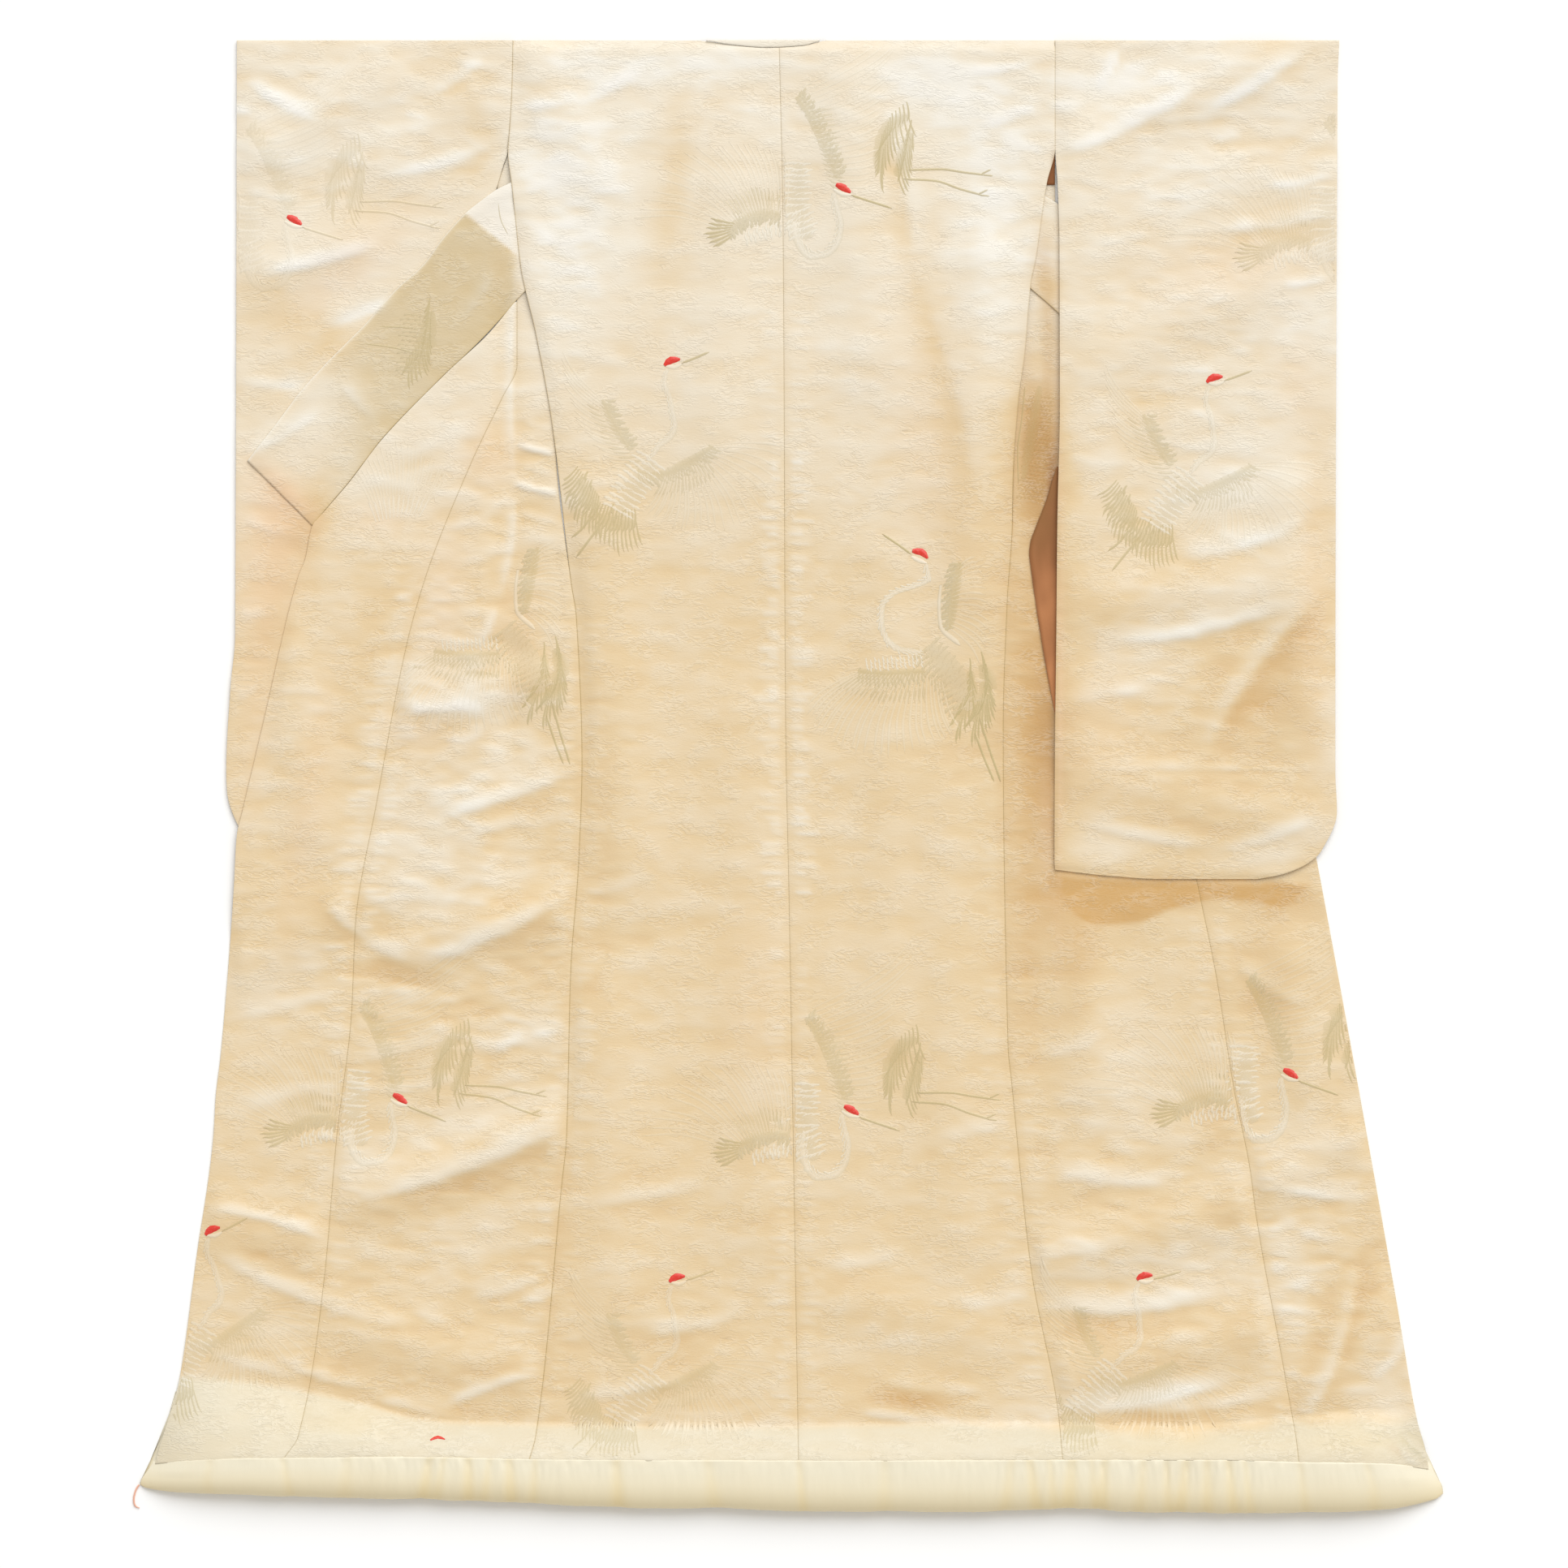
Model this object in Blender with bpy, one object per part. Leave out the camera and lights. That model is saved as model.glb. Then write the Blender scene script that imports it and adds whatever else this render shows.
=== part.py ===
"""Uchikake, a wedding over-kimono, laid flat with its back upwards.

Every place below is in millimetres on a square laying-out sheet, measured to the right and down
from the sheet's upper left corner. The model's origin is the middle of the garment's outline on
that sheet, at the surface it lies on, with +Y towards the shoulders and +Z up.
The wearer's left side is at -X, because the back is upwards.
"""

import math

import bpy
import numpy as np

MM = 0.001
MIDDLE = (970.5, 956.75)     # sheet place of the model's origin: right, down

# cloth and seams
BODY_WALL = 2.2              # brocade, wadding and lining of the body together
SLEEVE_WALL = 2.0
SEAM_GAP = 0.3
LAYER_GAP = 0.5              # air between two layers that lie on each other
CELL = 42.0                  # size of the mesh cells of a panel
BACK_COLUMNS = 9             # lines of points across each back
OKUMI_SHARES = (0, 0.13, 0.32, 0.58, 0.79, 1)    # its lines of points, from its free edge
HEM_ROWS = 5                 # rows of a panel between the crease and the hem seam
EVEN_ABOVE = 1100            # rows run straight across above this place, then ease to the crease
CREASE_ROW = 1750            # the row that follows the crease, named by its mean place

# levels of the undersides, worked out from what lies under each layer
SLEEVE_UPPER = SLEEVE_WALL + LAYER_GAP
ON_SLEEVE = 2 * (SLEEVE_WALL + LAYER_GAP)
ON_FRONT = BODY_WALL + LAYER_GAP
ON_COLLAR = 2 * (BODY_WALL + LAYER_GAP) + 0.2

# the padded hem roll
ROLL_SEAM_HEIGHT = 30.0      # height of the roll where the brocade meets it
ROLL_HEIGHT = 34.0
ROLL_SOUTH_DEPTH = 30.0      # depth of its round lower side, seen from above
ROLL_RISE_POWER = 1.25       # shape of the cloth's rise from the crease to the roll
ROLL_UNDER_CLOTH = 1.0       # the roll stays this far under the brocade,
TIP_CLEARANCE = 3.0          # and up to this much further where it narrows to its tips
FOLD_FOOT = 0.25             # folds lower than this are left out, so that flat cloth is flat

SHOULDER = 50.0              # down place of the shoulder fold
# Places that every panel's rows share, where a seam starts or turns.
BODY_MARKS = (100, 160, 187, 232, 300, 372, 412, 450, 490, 1100)

# Edges that run down the garment. Columns: down, right.
ARMHOLE_LEFT = [(50, 632), (100, 631), (160, 628), (187, 626)]
ARMHOLE_RIGHT = [(50, 1300), (183, 1300)]
SIDE_LEFT = ARMHOLE_LEFT + [
    (230, 631), (330, 642), (410, 660), (520, 680), (720, 704), (760, 710), (940, 717),
    (1060, 713), (1200, 703), (1400, 698), (1460, 692), (1770, 660), (1800, 652), (1870, 640),
]
SIDE_RIGHT = ARMHOLE_RIGHT + [
    (225, 1290), (320, 1276), (350, 1270), (440, 1262), (490, 1255),
    (590, 1248), (650, 1247), (740, 1241), (900, 1236), (1290, 1242), (1330, 1246), (1560, 1270),
    (1750, 1305), (1790, 1308), (1870, 1320),
]
CENTRE = [(50, 960), (300, 965), (900, 968), (1100, 972), (1870, 985)]
OKUMI_SEAM_LEFT = [
    (372, 637), (450, 637), (490, 619), (570, 581), (710, 525), (800, 500), (985, 465),
    (1140, 438), (1250, 433), (1400, 415), (1580, 399), (1770, 368), (1800, 350), (1870, 345),
]
OKUMI_EDGE_LEFT = [
    (372, 634), (412, 601.5), (458, 552), (545, 468), (595, 430), (630, 400), (648, 385),
    (690, 376), (710, 368), (890, 325), (1000, 299), (1030, 292), (1100, 288), (1300, 272),
    (1350, 266), (1400, 263), (1550, 242), (1700, 221), (1800, 192), (1830, 186),
]
OKUMI_SEAM_RIGHT = [
    (390, 1306), (440, 1330), (550, 1371), (1087, 1475), (1200, 1498), (1340, 1520), (1440, 1540),
    (1500, 1548), (1700, 1584), (1780, 1597), (1870, 1603),
]
OKUMI_EDGE_RIGHT = [
    (390, 1312), (412, 1325), (430, 1345), (490, 1402), (600, 1506), (640, 1543), (750, 1562),
    (1058, 1622), (1600, 1720), (1750, 1746), (1790, 1757), (1830, 1762),
]
# The front's own edges above the okumi, partly under the back. Columns: down, right.
FRONT_OUTER_LEFT = ARMHOLE_LEFT + [(205, 622), (232, 616), (262, 617), (300, 624), (320, 634),
                                   (372, 637)]
FRONT_INNER_LEFT = [(50, 864), (120, 836), (200, 780), (300, 722), (400, 694), (480, 684),
                    (555, 685), (570, 687)]
FRONT_OUTER_RIGHT = ARMHOLE_RIGHT + [(232, 1300), (300, 1301), (390, 1306), (412, 1312)]
FRONT_INNER_RIGHT = [(50, 1017), (120, 1050), (200, 1110), (300, 1180), (400, 1228), (480, 1250),
                     (560, 1249), (590, 1248)]
SLEEVE_OUTER_LEFT = [
    (50, 292), (780, 290), (850, 284), (950, 279), (975, 280), (1012, 291), (1048, 324),
    (1062, 350), (1070, 378), (1075, 410),
]
SLEEVE_INNER_LEFT = ARMHOLE_LEFT + [(205, 620), (232, 612), (262, 600), (300, 577), (340, 566),
                                    (1000, 566), (1075, 570)]
SLEEVE_INNER_RIGHT = ARMHOLE_RIGHT + [(230, 1303), (300, 1305), (1000, 1303), (1083, 1305)]
SLEEVE_OUTER_RIGHT = [
    (50, 1650), (100, 1648), (950, 1645), (1000, 1647), (1048, 1628), (1062, 1614), (1078, 1578),
    (1083, 1550),
]

# Lines across the garment. Columns: right, down.
NECK = [(800, 50), (864, 50.6), (900, 56), (945, 59.5), (990, 57), (1016, 50.6), (1100, 50)]
CREASE = [
    (170, 1690), (300, 1700), (440, 1726), (500, 1743), (560, 1751), (900, 1757), (1200, 1752),
    (1450, 1756), (1700, 1738), (1780, 1740),
]
HEM_SEAM = [(170, 1806), (200, 1801), (300, 1795), (500, 1793), (700, 1796), (984, 1797),
            (1500, 1796), (1600, 1799), (1700, 1801), (1780, 1812)]
HEM_LOW = [
    (172.5, 1829), (180, 1833), (225, 1838), (600, 1849), (800, 1857), (900, 1857.5), (984, 1861),
    (1200, 1861.5), (1330, 1858), (1400, 1862), (1500, 1863.5), (1680, 1861), (1768, 1847),
    (1778, 1840),
]
# How full the roll is along the hem. Columns: right, share of its full section.
ROLL_FULLNESS = [(172.5, 0.10), (190, 0.36), (220, 0.66), (270, 0.90), (340, 1.0), (1620, 1.0),
                 (1690, 0.90), (1735, 0.66), (1762, 0.36), (1778, 0.10)]
HEM_CUTS = [172.5, 350, 650, 984.5, 1313, 1601, 1778]
# The roll's two ends, which slant along the okumi's edges. Columns: down, right.
ROLL_END_LEFT = [(1680, 224), (1750, 207), (1785, 195), (1800, 190), (1810, 183), (1818, 177),
                 (1824, 173.6), (1829, 172.5)]
ROLL_END_RIGHT = [(1690, 1735), (1750, 1746), (1790, 1757), (1800, 1761), (1810, 1765),
                  (1820, 1771), (1832, 1777), (1840, 1778)]
END_REACH = 165.0            # how far in from its ends the roll's sections still slant

# Collar stretches from the neck to the end, a row for each section.
# Columns: right and down of the free edge, right and down of the sewn edge.
COLLAR_LEFT = [
    (858, 62, 905, 106), (800, 112, 852, 160), (740, 158, 792, 214), (690, 192, 742, 266),
    (650, 213, 700, 308), (628, 226, 664, 343), (612, 234, 637, 370), (594, 247, 619, 391),
    (575, 262, 600, 412), (545, 295, 576, 436), (522, 326, 552, 458), (490, 355, 526, 484),
    (450, 400, 500, 510), (425, 425, 468, 545), (403, 447, 449, 570), (372, 481, 430, 595),
    (338, 526, 407, 622), (305, 568, 385, 648),
]
COLLAR_RIGHT = [
    (1022, 62, 978, 106), (1080, 104, 1030, 160), (1140, 146, 1090, 206), (1200, 188, 1150, 254),
    (1250, 220, 1205, 300), (1290, 243, 1258, 346), (1322, 264, 1308, 390),
    (1360, 296, 1345, 430), (1420, 350, 1402, 490), (1480, 412, 1460, 550),
    (1540, 474, 1508, 600), (1590, 520, 1545, 640),
]

# The largest folds, as soft ridges. Columns: start right, start down, end right, end down,
# half width, height.
FOLDS = {
    "back_left": [
        (668, 92, 730, 210, 34, 4.0), (905, 240, 880, 520, 40, 5.0), (735, 640, 770, 1040, 42, 5.5),
        (915, 900, 930, 1500, 45, 3.5), (740, 1250, 760, 1600, 44, 4.5),
    ],
    "back_right": [
        (1045, 120, 1070, 420, 42, 5.0), (1215, 330, 1195, 720, 36, 6.0),
        (1090, 700, 1095, 1250, 34, 3.5), (1160, 980, 1180, 1500, 46, 4.5),
        (1060, 1600, 1200, 1640, 38, 4.0),
    ],
    "front_left": [
        (505, 868, 640, 842, 34, 5.5), (520, 1168, 672, 1122, 34, 6.5),
        (470, 1470, 670, 1392, 36, 7.0), (470, 1650, 640, 1690, 36, 4.5),
    ],
    "okumi_left": [
        (345, 800, 390, 1010, 36, 4.0), (300, 1180, 415, 1140, 36, 5.0),
        (260, 1500, 380, 1525, 34, 5.0),
    ],
    "front_right": [
        (1330, 1170, 1345, 1330, 38, 5.0), (1310, 1548, 1520, 1486, 36, 6.5),
        (1330, 1690, 1540, 1640, 38, 6.0),
    ],
    "okumi_right": [
        (1590, 1180, 1610, 1330, 34, 4.5), (1580, 1450, 1670, 1400, 34, 5.5),
        (1640, 1700, 1710, 1600, 34, 5.0),
    ],
    "sleeve_left_back": [
        (330, 180, 470, 105, 36, 5.0), (345, 330, 420, 300, 34, 5.0), (480, 190, 560, 130, 34, 4.0),
    ],
    "sleeve_right_back": [
        (1350, 170, 1540, 84, 38, 5.5), (1380, 430, 1560, 350, 40, 4.5),
        (1380, 740, 1560, 720, 40, 6.0), (1590, 620, 1605, 860, 34, 5.0),
        (1360, 960, 1560, 1000, 40, 4.5),
    ],
    "collar_left": [(420, 560, 440, 500, 34, 2.0)],
}

# What the garment is made of: colour, roughness.
BROCADE = ((0.90, 0.80, 0.62), 0.42)
HEM_SATIN = ((0.90, 0.83, 0.64), 0.38)
PINK_LINING = ((0.85, 0.52, 0.42), 0.55)


def along(table, at, column=1):
    """Smooth curve through a table's rows without overshoot, read at the places given."""
    rows = np.asarray(table, float)
    x = rows[:, 0]
    y = rows[:, column]
    steps = np.diff(x)
    slopes = np.diff(y) / steps
    tangents = np.empty_like(y)
    tangents[0] = slopes[0]
    tangents[-1] = slopes[-1]
    product = slopes[:-1] * slopes[1:]
    mean = (slopes[:-1] + slopes[1:]) / 2
    harmonic = np.divide(product, mean, out=np.zeros_like(mean), where=np.abs(mean) > 1e-12)
    tangents[1:-1] = np.where(product > 0, harmonic, 0)
    at = np.clip(np.asarray(at, float), x[0], x[-1])
    k = np.clip(np.searchsorted(x, at, side="right") - 1, 0, len(steps) - 1)
    t = (at - x[k]) / steps[k]
    blend = t * t * (3 - 2 * t)
    lead = t * (1 - t) ** 2 * steps[k]
    trail = t * t * (t - 1) * steps[k]
    return y[k] * (1 - blend) + y[k + 1] * blend + tangents[k] * lead + tangents[k + 1] * trail


def step(start, end, at):
    """0 before start, 1 after end, smooth between them; start may be the larger."""
    t = np.clip((np.asarray(at, float) - start) / (end - start), 0, 1)
    return t * t * (3 - 2 * t)


def fold_height(name, right, down):
    """Height of a panel's soft ridges: a bell across each line that fades past its ends."""
    total = np.zeros(np.broadcast(right, down).shape)
    for x0, y0, x1, y1, width, height in FOLDS.get(name, []):
        dx, dy = x1 - x0, y1 - y0
        length = math.hypot(dx, dy)
        s = ((right - x0) * dx + (down - y0) * dy) / length
        across = ((right - x0) * dy - (down - y0) * dx) / length
        past = np.maximum(np.abs(s - length / 2) - length / 2, 0)
        total = total + height * np.exp(-(across / width) ** 2 - (past / (1.4 * width)) ** 2)
    return np.maximum(total - FOLD_FOOT, 0)


def slanted(station, down):
    """Where a roll section named by its station reaches at a place down, near the two ends."""
    start, end = HEM_CUTS[0], HEM_CUTS[-1]
    left = (along(ROLL_END_LEFT, down) - start) * np.clip(1 - (station - start) / END_REACH, 0, 1)
    right = (end - along(ROLL_END_RIGHT, down)) * np.clip(1 - (end - station) / END_REACH, 0, 1)
    return station + left - right


def station_of(right, down):
    """The roll section that reaches a place: the reverse of slanted."""
    start, end = HEM_CUTS[0], HEM_CUTS[-1]
    slip = along(ROLL_END_LEFT, down) - start
    left = start + (right - start - slip) / (1 - slip / END_REACH)
    slip = end - along(ROLL_END_RIGHT, down)
    far = end - (end - right - slip) / (1 - slip / END_REACH)
    station = np.where(right < start + END_REACH, left, right)
    return np.clip(np.where(right > end - END_REACH, far, station), start, end)


def fullness(station):
    return along(ROLL_FULLNESS, station)


def hem_rise(right, down):
    """Height of the roll under the brocade, from nothing at the crease to the hem seam."""
    crease = along(CREASE, right)
    seam = along(HEM_SEAM, right)
    share = np.clip((seam - down) / (seam - crease), 0, 1)
    rise = ROLL_SEAM_HEIGHT * (1 - share ** ROLL_RISE_POWER)
    return rise * fullness(station_of(right, down))


def place(right, down, height):
    """Sheet millimetres to model metres, as one array of points."""
    right, down, height = np.broadcast_arrays(right, down, height)
    return np.stack([(right - MIDDLE[0]) * MM, (MIDDLE[1] - down) * MM, height * MM], axis=-1)


def new_object(name, points, faces, look):
    mesh = bpy.data.meshes.new(name)
    mesh.from_pydata([tuple(p) for p in points], [], faces)
    mesh.validate()
    material = bpy.data.materials.new(name)
    material.use_nodes = True
    shader = material.node_tree.nodes["Principled BSDF"]
    colour, roughness = look
    shader.inputs["Base Color"].default_value = (*colour, 1)
    shader.inputs["Roughness"].default_value = roughness
    shader.inputs["Metallic"].default_value = 0
    mesh.materials.append(material)
    mesh.shade_smooth()
    mesh.set_sharp_from_angle(angle=math.radians(50))
    thing = bpy.data.objects.new(name, mesh)
    bpy.context.scene.collection.objects.link(thing)
    return thing


def cloth_wall(name, right, down, under, thickness, look):
    """A closed wall over a grid: its underside at the heights given, its top one thickness up."""
    rows, columns = right.shape
    top = place(right, down, under + thickness).reshape(-1, 3)
    bottom = place(right, down, under).reshape(-1, 3)
    points = np.concatenate([top, bottom])
    lower = rows * columns

    def at(i, j):
        return i * columns + j

    faces = []
    for i in range(rows - 1):
        for j in range(columns - 1):
            quad = (at(i, j), at(i + 1, j), at(i + 1, j + 1), at(i, j + 1))
            faces.append(quad)
            faces.append(tuple(lower + k for k in reversed(quad)))
    rim = [at(0, j) for j in range(columns)]
    rim += [at(i, columns - 1) for i in range(1, rows)]
    rim += [at(rows - 1, j) for j in range(columns - 2, -1, -1)]
    rim += [at(i, 0) for i in range(rows - 2, 0, -1)]
    for a, b in zip(rim, rim[1:] + rim[:1]):
        faces.append((a, b, lower + b, lower + a))
    return new_object(name, points, faces, look)


def even_rows(start, end, extra=()):
    """Places from start to end about one cell apart, with the extra ones among them."""
    marks = sorted({start, end, *extra})
    places = []
    for a, b in zip(marks, marks[1:]):
        count = max(1, round((b - a) / CELL))
        places += list(np.linspace(a, b, count, endpoint=False))
    return np.array(places + [end])


def panel_grid(left_edge, right_edge, rows, columns, top_line=None, hem=False):
    """Grid of a panel between two edges, with a count of columns or their shares of the width.
    With hem, its last rows follow the crease and the hem seam; with top_line, its first row
    follows that line."""
    shares = np.linspace(0, 1, columns) if isinstance(columns, int) else np.array(columns)
    share = shares[None, :]
    down = np.repeat(rows[:, None], len(shares), axis=1).astype(float)
    for _ in range(3):
        left = along(left_edge, down) + SEAM_GAP / 2
        right = along(right_edge, down) - SEAM_GAP / 2
        across = left + (right - left) * share
        if hem:
            crease = along(CREASE, across)
            seam = along(HEM_SEAM, across)
            plain = rows[:, None]
            eased = EVEN_ABOVE + (plain - EVEN_ABOVE) * (crease - EVEN_ABOVE) / (
                CREASE_ROW - EVEN_ABOVE)
            hem_share = (plain - CREASE_ROW) / (rows[-1] - CREASE_ROW)
            down = np.where(plain <= EVEN_ABOVE, plain, eased)
            down = np.where(plain <= CREASE_ROW, down, crease + (seam - crease) * hem_share)
        if top_line is not None:
            drop = along(top_line, across) - SHOULDER
            fade = np.clip(1 - (rows[:, None] - rows[0]) / CELL, 0, 1)
            down = np.where(hem, down, rows[:, None]) + drop * fade
    return across, down


def body_rows(start):
    """The same rows for every panel of the body, from the start given down to the hem seam."""
    flat = even_rows(SHOULDER, CREASE_ROW, BODY_MARKS)
    rise = np.linspace(CREASE_ROW, CREASE_ROW + 45, HEM_ROWS + 1)[1:]
    rows = np.concatenate([flat, rise])
    return rows[rows >= start]


def back_under(right, down):
    """The back's underside: over fronts and collar at the top, on the floor below."""
    lift = ON_COLLAR * (1 - step(440, 760, down))
    over_left = (1 - step(640, 690, right)) * step(190, 240, down) * (1 - step(400, 470, down))
    rounded = ON_FRONT - ON_COLLAR
    return (
        lift + 2.0 * over_left + rounded * (1 - step(SHOULDER, SHOULDER + 14, down))
        + hem_rise(right, down)
    )


def front_left_under(right, down):
    """The spread front's underside: over the sleeve outside its fold, on the floor elsewhere."""
    on_sleeve = (1 - step(590, 637, right)) * (1 - step(1095, 1175, down)) * step(300, 330, down)
    return ON_SLEEVE * on_sleeve + hem_rise(right, down)


def front_right_under(right, down):
    return hem_rise(right, down)


def collar_left_under(right, down):
    """On the hidden front under the back, then up over the sleeve."""
    return ON_FRONT + (ON_SLEEVE - ON_FRONT) * (1 - step(622, 652, right))


def collar_right_under(right, down):
    """On the hidden front under the back, then down to the floor under the sleeve."""
    return ON_FRONT * (1 - step(1300, 1345, right))


def sleeve_left_upper_under(right, down):
    """Up to the back's level at the armhole, down on the lower half elsewhere."""
    at_armhole = step(540, 626, right) * (1 - step(130, 200, down))
    return SLEEVE_UPPER + (ON_COLLAR - SLEEVE_UPPER) * at_armhole


def sleeve_right_lower_under(right, down):
    """Over the front and, at its inner edge, over the collar as well."""
    inner = ON_COLLAR - ON_FRONT
    return step(150, 226, down) * (ON_FRONT + 0.2 + inner * (1 - step(1330, 1420, right)))


def sleeve_right_upper_under(right, down):
    at_armhole = (1 - step(1301, 1390, right)) * (1 - step(130, 200, down))
    low = sleeve_right_lower_under(right, down) + SLEEVE_UPPER
    return low + (ON_COLLAR - SLEEVE_UPPER) * at_armhole


def panel(name, edges, rows, columns, under, thickness=BODY_WALL, **shape):
    right, down = panel_grid(*edges, rows, columns, **shape)
    heights = under(right, down) + fold_height(name, right, down)
    return cloth_wall(name, right, down, heights, thickness, BROCADE)


def make_backs():
    rows = np.sort(np.concatenate([body_rows(SHOULDER), [SHOULDER + 6, SHOULDER + 14]]))
    for name, edges in (("back_left", (SIDE_LEFT, CENTRE)), ("back_right", (CENTRE, SIDE_RIGHT))):
        panel(name, edges, rows, BACK_COLUMNS, back_under, top_line=NECK, hem=True)


def joined(upper, lower, switch):
    """One edge from two: the upper one's rows above the switch, the lower one's from it on."""
    return [r for r in upper if r[0] < switch] + [r for r in lower if r[0] >= switch]


def make_fronts():
    rows = body_rows(SHOULDER)
    left = joined(FRONT_OUTER_LEFT, OKUMI_SEAM_LEFT, 372)
    inner = joined(FRONT_INNER_LEFT, SIDE_LEFT, 570)
    panel("front_left", (left, inner), rows, 7, front_left_under, hem=True)
    outer = joined(FRONT_OUTER_RIGHT, OKUMI_SEAM_RIGHT, 390)
    inner = joined(FRONT_INNER_RIGHT, SIDE_RIGHT, 590)
    panel("front_right", (inner, outer), rows, 7, front_right_under, hem=True)


def make_okumi():
    panel("okumi_left", (OKUMI_EDGE_LEFT, OKUMI_SEAM_LEFT), body_rows(372),
          OKUMI_SHARES, front_left_under, hem=True)
    panel("okumi_right", (OKUMI_SEAM_RIGHT, OKUMI_EDGE_RIGHT), body_rows(412),
          [1 - s for s in reversed(OKUMI_SHARES)], front_right_under, hem=True)


def make_sleeves():
    left = (SLEEVE_OUTER_LEFT, SLEEVE_INNER_LEFT)
    right = (SLEEVE_INNER_RIGHT, SLEEVE_OUTER_RIGHT)
    corner_left = (950, 975, 995, 1012, 1030, 1048, 1062, 1070)
    corner_right = (1000, 1012, 1030, 1048, 1062, 1070, 1078)
    rows = even_rows(SHOULDER, 1075, (*BODY_MARKS[:9], *corner_left))
    panel("sleeve_left_front", left, rows, 9, lambda r, d: 0 * r, SLEEVE_WALL)
    panel("sleeve_left_back", left, rows, 9, sleeve_left_upper_under, SLEEVE_WALL)
    rows = even_rows(SHOULDER, 1083, (*BODY_MARKS[:9], *corner_right))
    panel("sleeve_right_front", right, rows, 9, sleeve_right_lower_under, SLEEVE_WALL)
    panel("sleeve_right_back", right, rows, 9, sleeve_right_upper_under, SLEEVE_WALL)


def collar_strip(name, sections, columns, under):
    """The band between its free and its sewn edge, kept a seam's gap off the front."""
    table = np.asarray(sections, float)
    share = np.linspace(0, 1, columns)[None, :]
    free, sewn = table[:, :2], table[:, 2:]
    width = np.linalg.norm(sewn - free, axis=1, keepdims=True)
    sewn = free + (sewn - free) * (1 - 3 * SEAM_GAP / width)
    right = free[:, :1] + (sewn[:, :1] - free[:, :1]) * share
    down = free[:, 1:] + (sewn[:, 1:] - free[:, 1:]) * share
    if sewn[0, 0] < free[0, 0]:
        right, down = right[:, ::-1], down[:, ::-1]
    heights = under(right, down) + fold_height(name, right, down)
    cloth_wall(name, right, down, heights, BODY_WALL, BROCADE)


def make_collar():
    collar_strip("collar_left", COLLAR_LEFT, 4, collar_left_under)
    collar_strip("collar_right", COLLAR_RIGHT, 4, collar_right_under)
    # The stretch round the back of the neck, folded double, between the neck seam and the top.
    # Its corners stand over the backs' own, so that both seam edges have the same chords.
    backs = [np.linspace(start + SEAM_GAP / 2, end - SEAM_GAP / 2, BACK_COLUMNS)
             for start, end in ((632, 960), (960, 1300))]
    corners = [x for x in np.concatenate(backs) if 870 < x < 1010]
    across = np.array([870, *corners, 1010])
    seam = along(NECK, across) - 2 * SEAM_GAP
    right = np.stack([across, across])
    down = np.stack([np.full_like(across, SHOULDER - 0.25), seam])
    cloth_wall("collar_back", right, down, np.full(right.shape, ON_FRONT), 4.4, BROCADE)


def roll_section(station):
    """Outline of the roll at one place of the hem: rows of right, down and height round it."""
    full = float(fullness(station))
    low = float(along(HEM_LOW, station))
    below = ROLL_UNDER_CLOTH + TIP_CLEARANCE * (1 - full)
    outline = []
    for share in (0.80, 0.60, 0.36, 0.14, 0.0):
        down = 1797.0
        for _ in range(4):
            right = float(slanted(station, down))
            seam, crease = float(along(HEM_SEAM, right)), float(along(CREASE, right))
            down = seam - share * (seam - crease)
        outline.append((right, down, max(float(hem_rise(right, down)) - below, 0.25)))
    foot = float(along(CREASE, right)) + 0.20 * (seam - crease) + 1
    south = ROLL_SOUTH_DEPTH * min(1.0, (low - seam) / 60)
    half = ROLL_HEIGHT / 2 * full
    around = [(seam + 0.45 * (low - south - seam), (ROLL_SEAM_HEIGHT + 3.2) * full)]
    for angle in (90, 62, 34, 8, -20, -50):
        a = math.radians(angle)
        around.append((low - south + south * math.cos(a), half + half * math.sin(a)))
    around += [(low - south, 0.0), (foot, 0.0)]
    outline += [(float(slanted(station, down)), down, height) for down, height in around]
    return outline


def okumi_stations(first, last):
    """Roll sections that stand under the okumi's own lines of points."""
    left = first < 200
    free = along(OKUMI_EDGE_LEFT if left else OKUMI_EDGE_RIGHT, 1797)
    sewn = along(OKUMI_SEAM_LEFT if left else OKUMI_SEAM_RIGHT, 1797)
    lines = [float(station_of(free + (sewn - free) * s, 1797.0)) for s in OKUMI_SHARES[1:-1]]
    return np.array([first, *sorted(lines), last])


def make_hem_roll():
    """The padded hem, one stretch under each panel."""
    names = ["okumi_left", "front_left", "back_left", "back_right", "front_right", "okumi_right"]
    for name, start, end in zip(names, HEM_CUTS, HEM_CUTS[1:]):
        first = start + (SEAM_GAP / 2 if start != HEM_CUTS[0] else 0)
        last = end - (SEAM_GAP / 2 if end != HEM_CUTS[-1] else 0)
        stations = even_rows(first, last)
        if "okumi" in name:
            stations = okumi_stations(first, last)
        rings = [roll_section(s) for s in stations]
        count = len(rings[0])
        table = np.array(rings, float).reshape(-1, 3)
        points = place(table[:, 0], table[:, 1], table[:, 2])
        faces = []
        for i in range(len(stations) - 1):
            for j in range(count):
                a, b = i * count + j, i * count + (j + 1) % count
                faces.append((a, b, b + count, a + count))
        faces.append(tuple(reversed(range(count))))
        faces.append(tuple((len(stations) - 1) * count + j for j in range(count)))
        new_object("hem_" + name, points, faces, HEM_SATIN)


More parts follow.
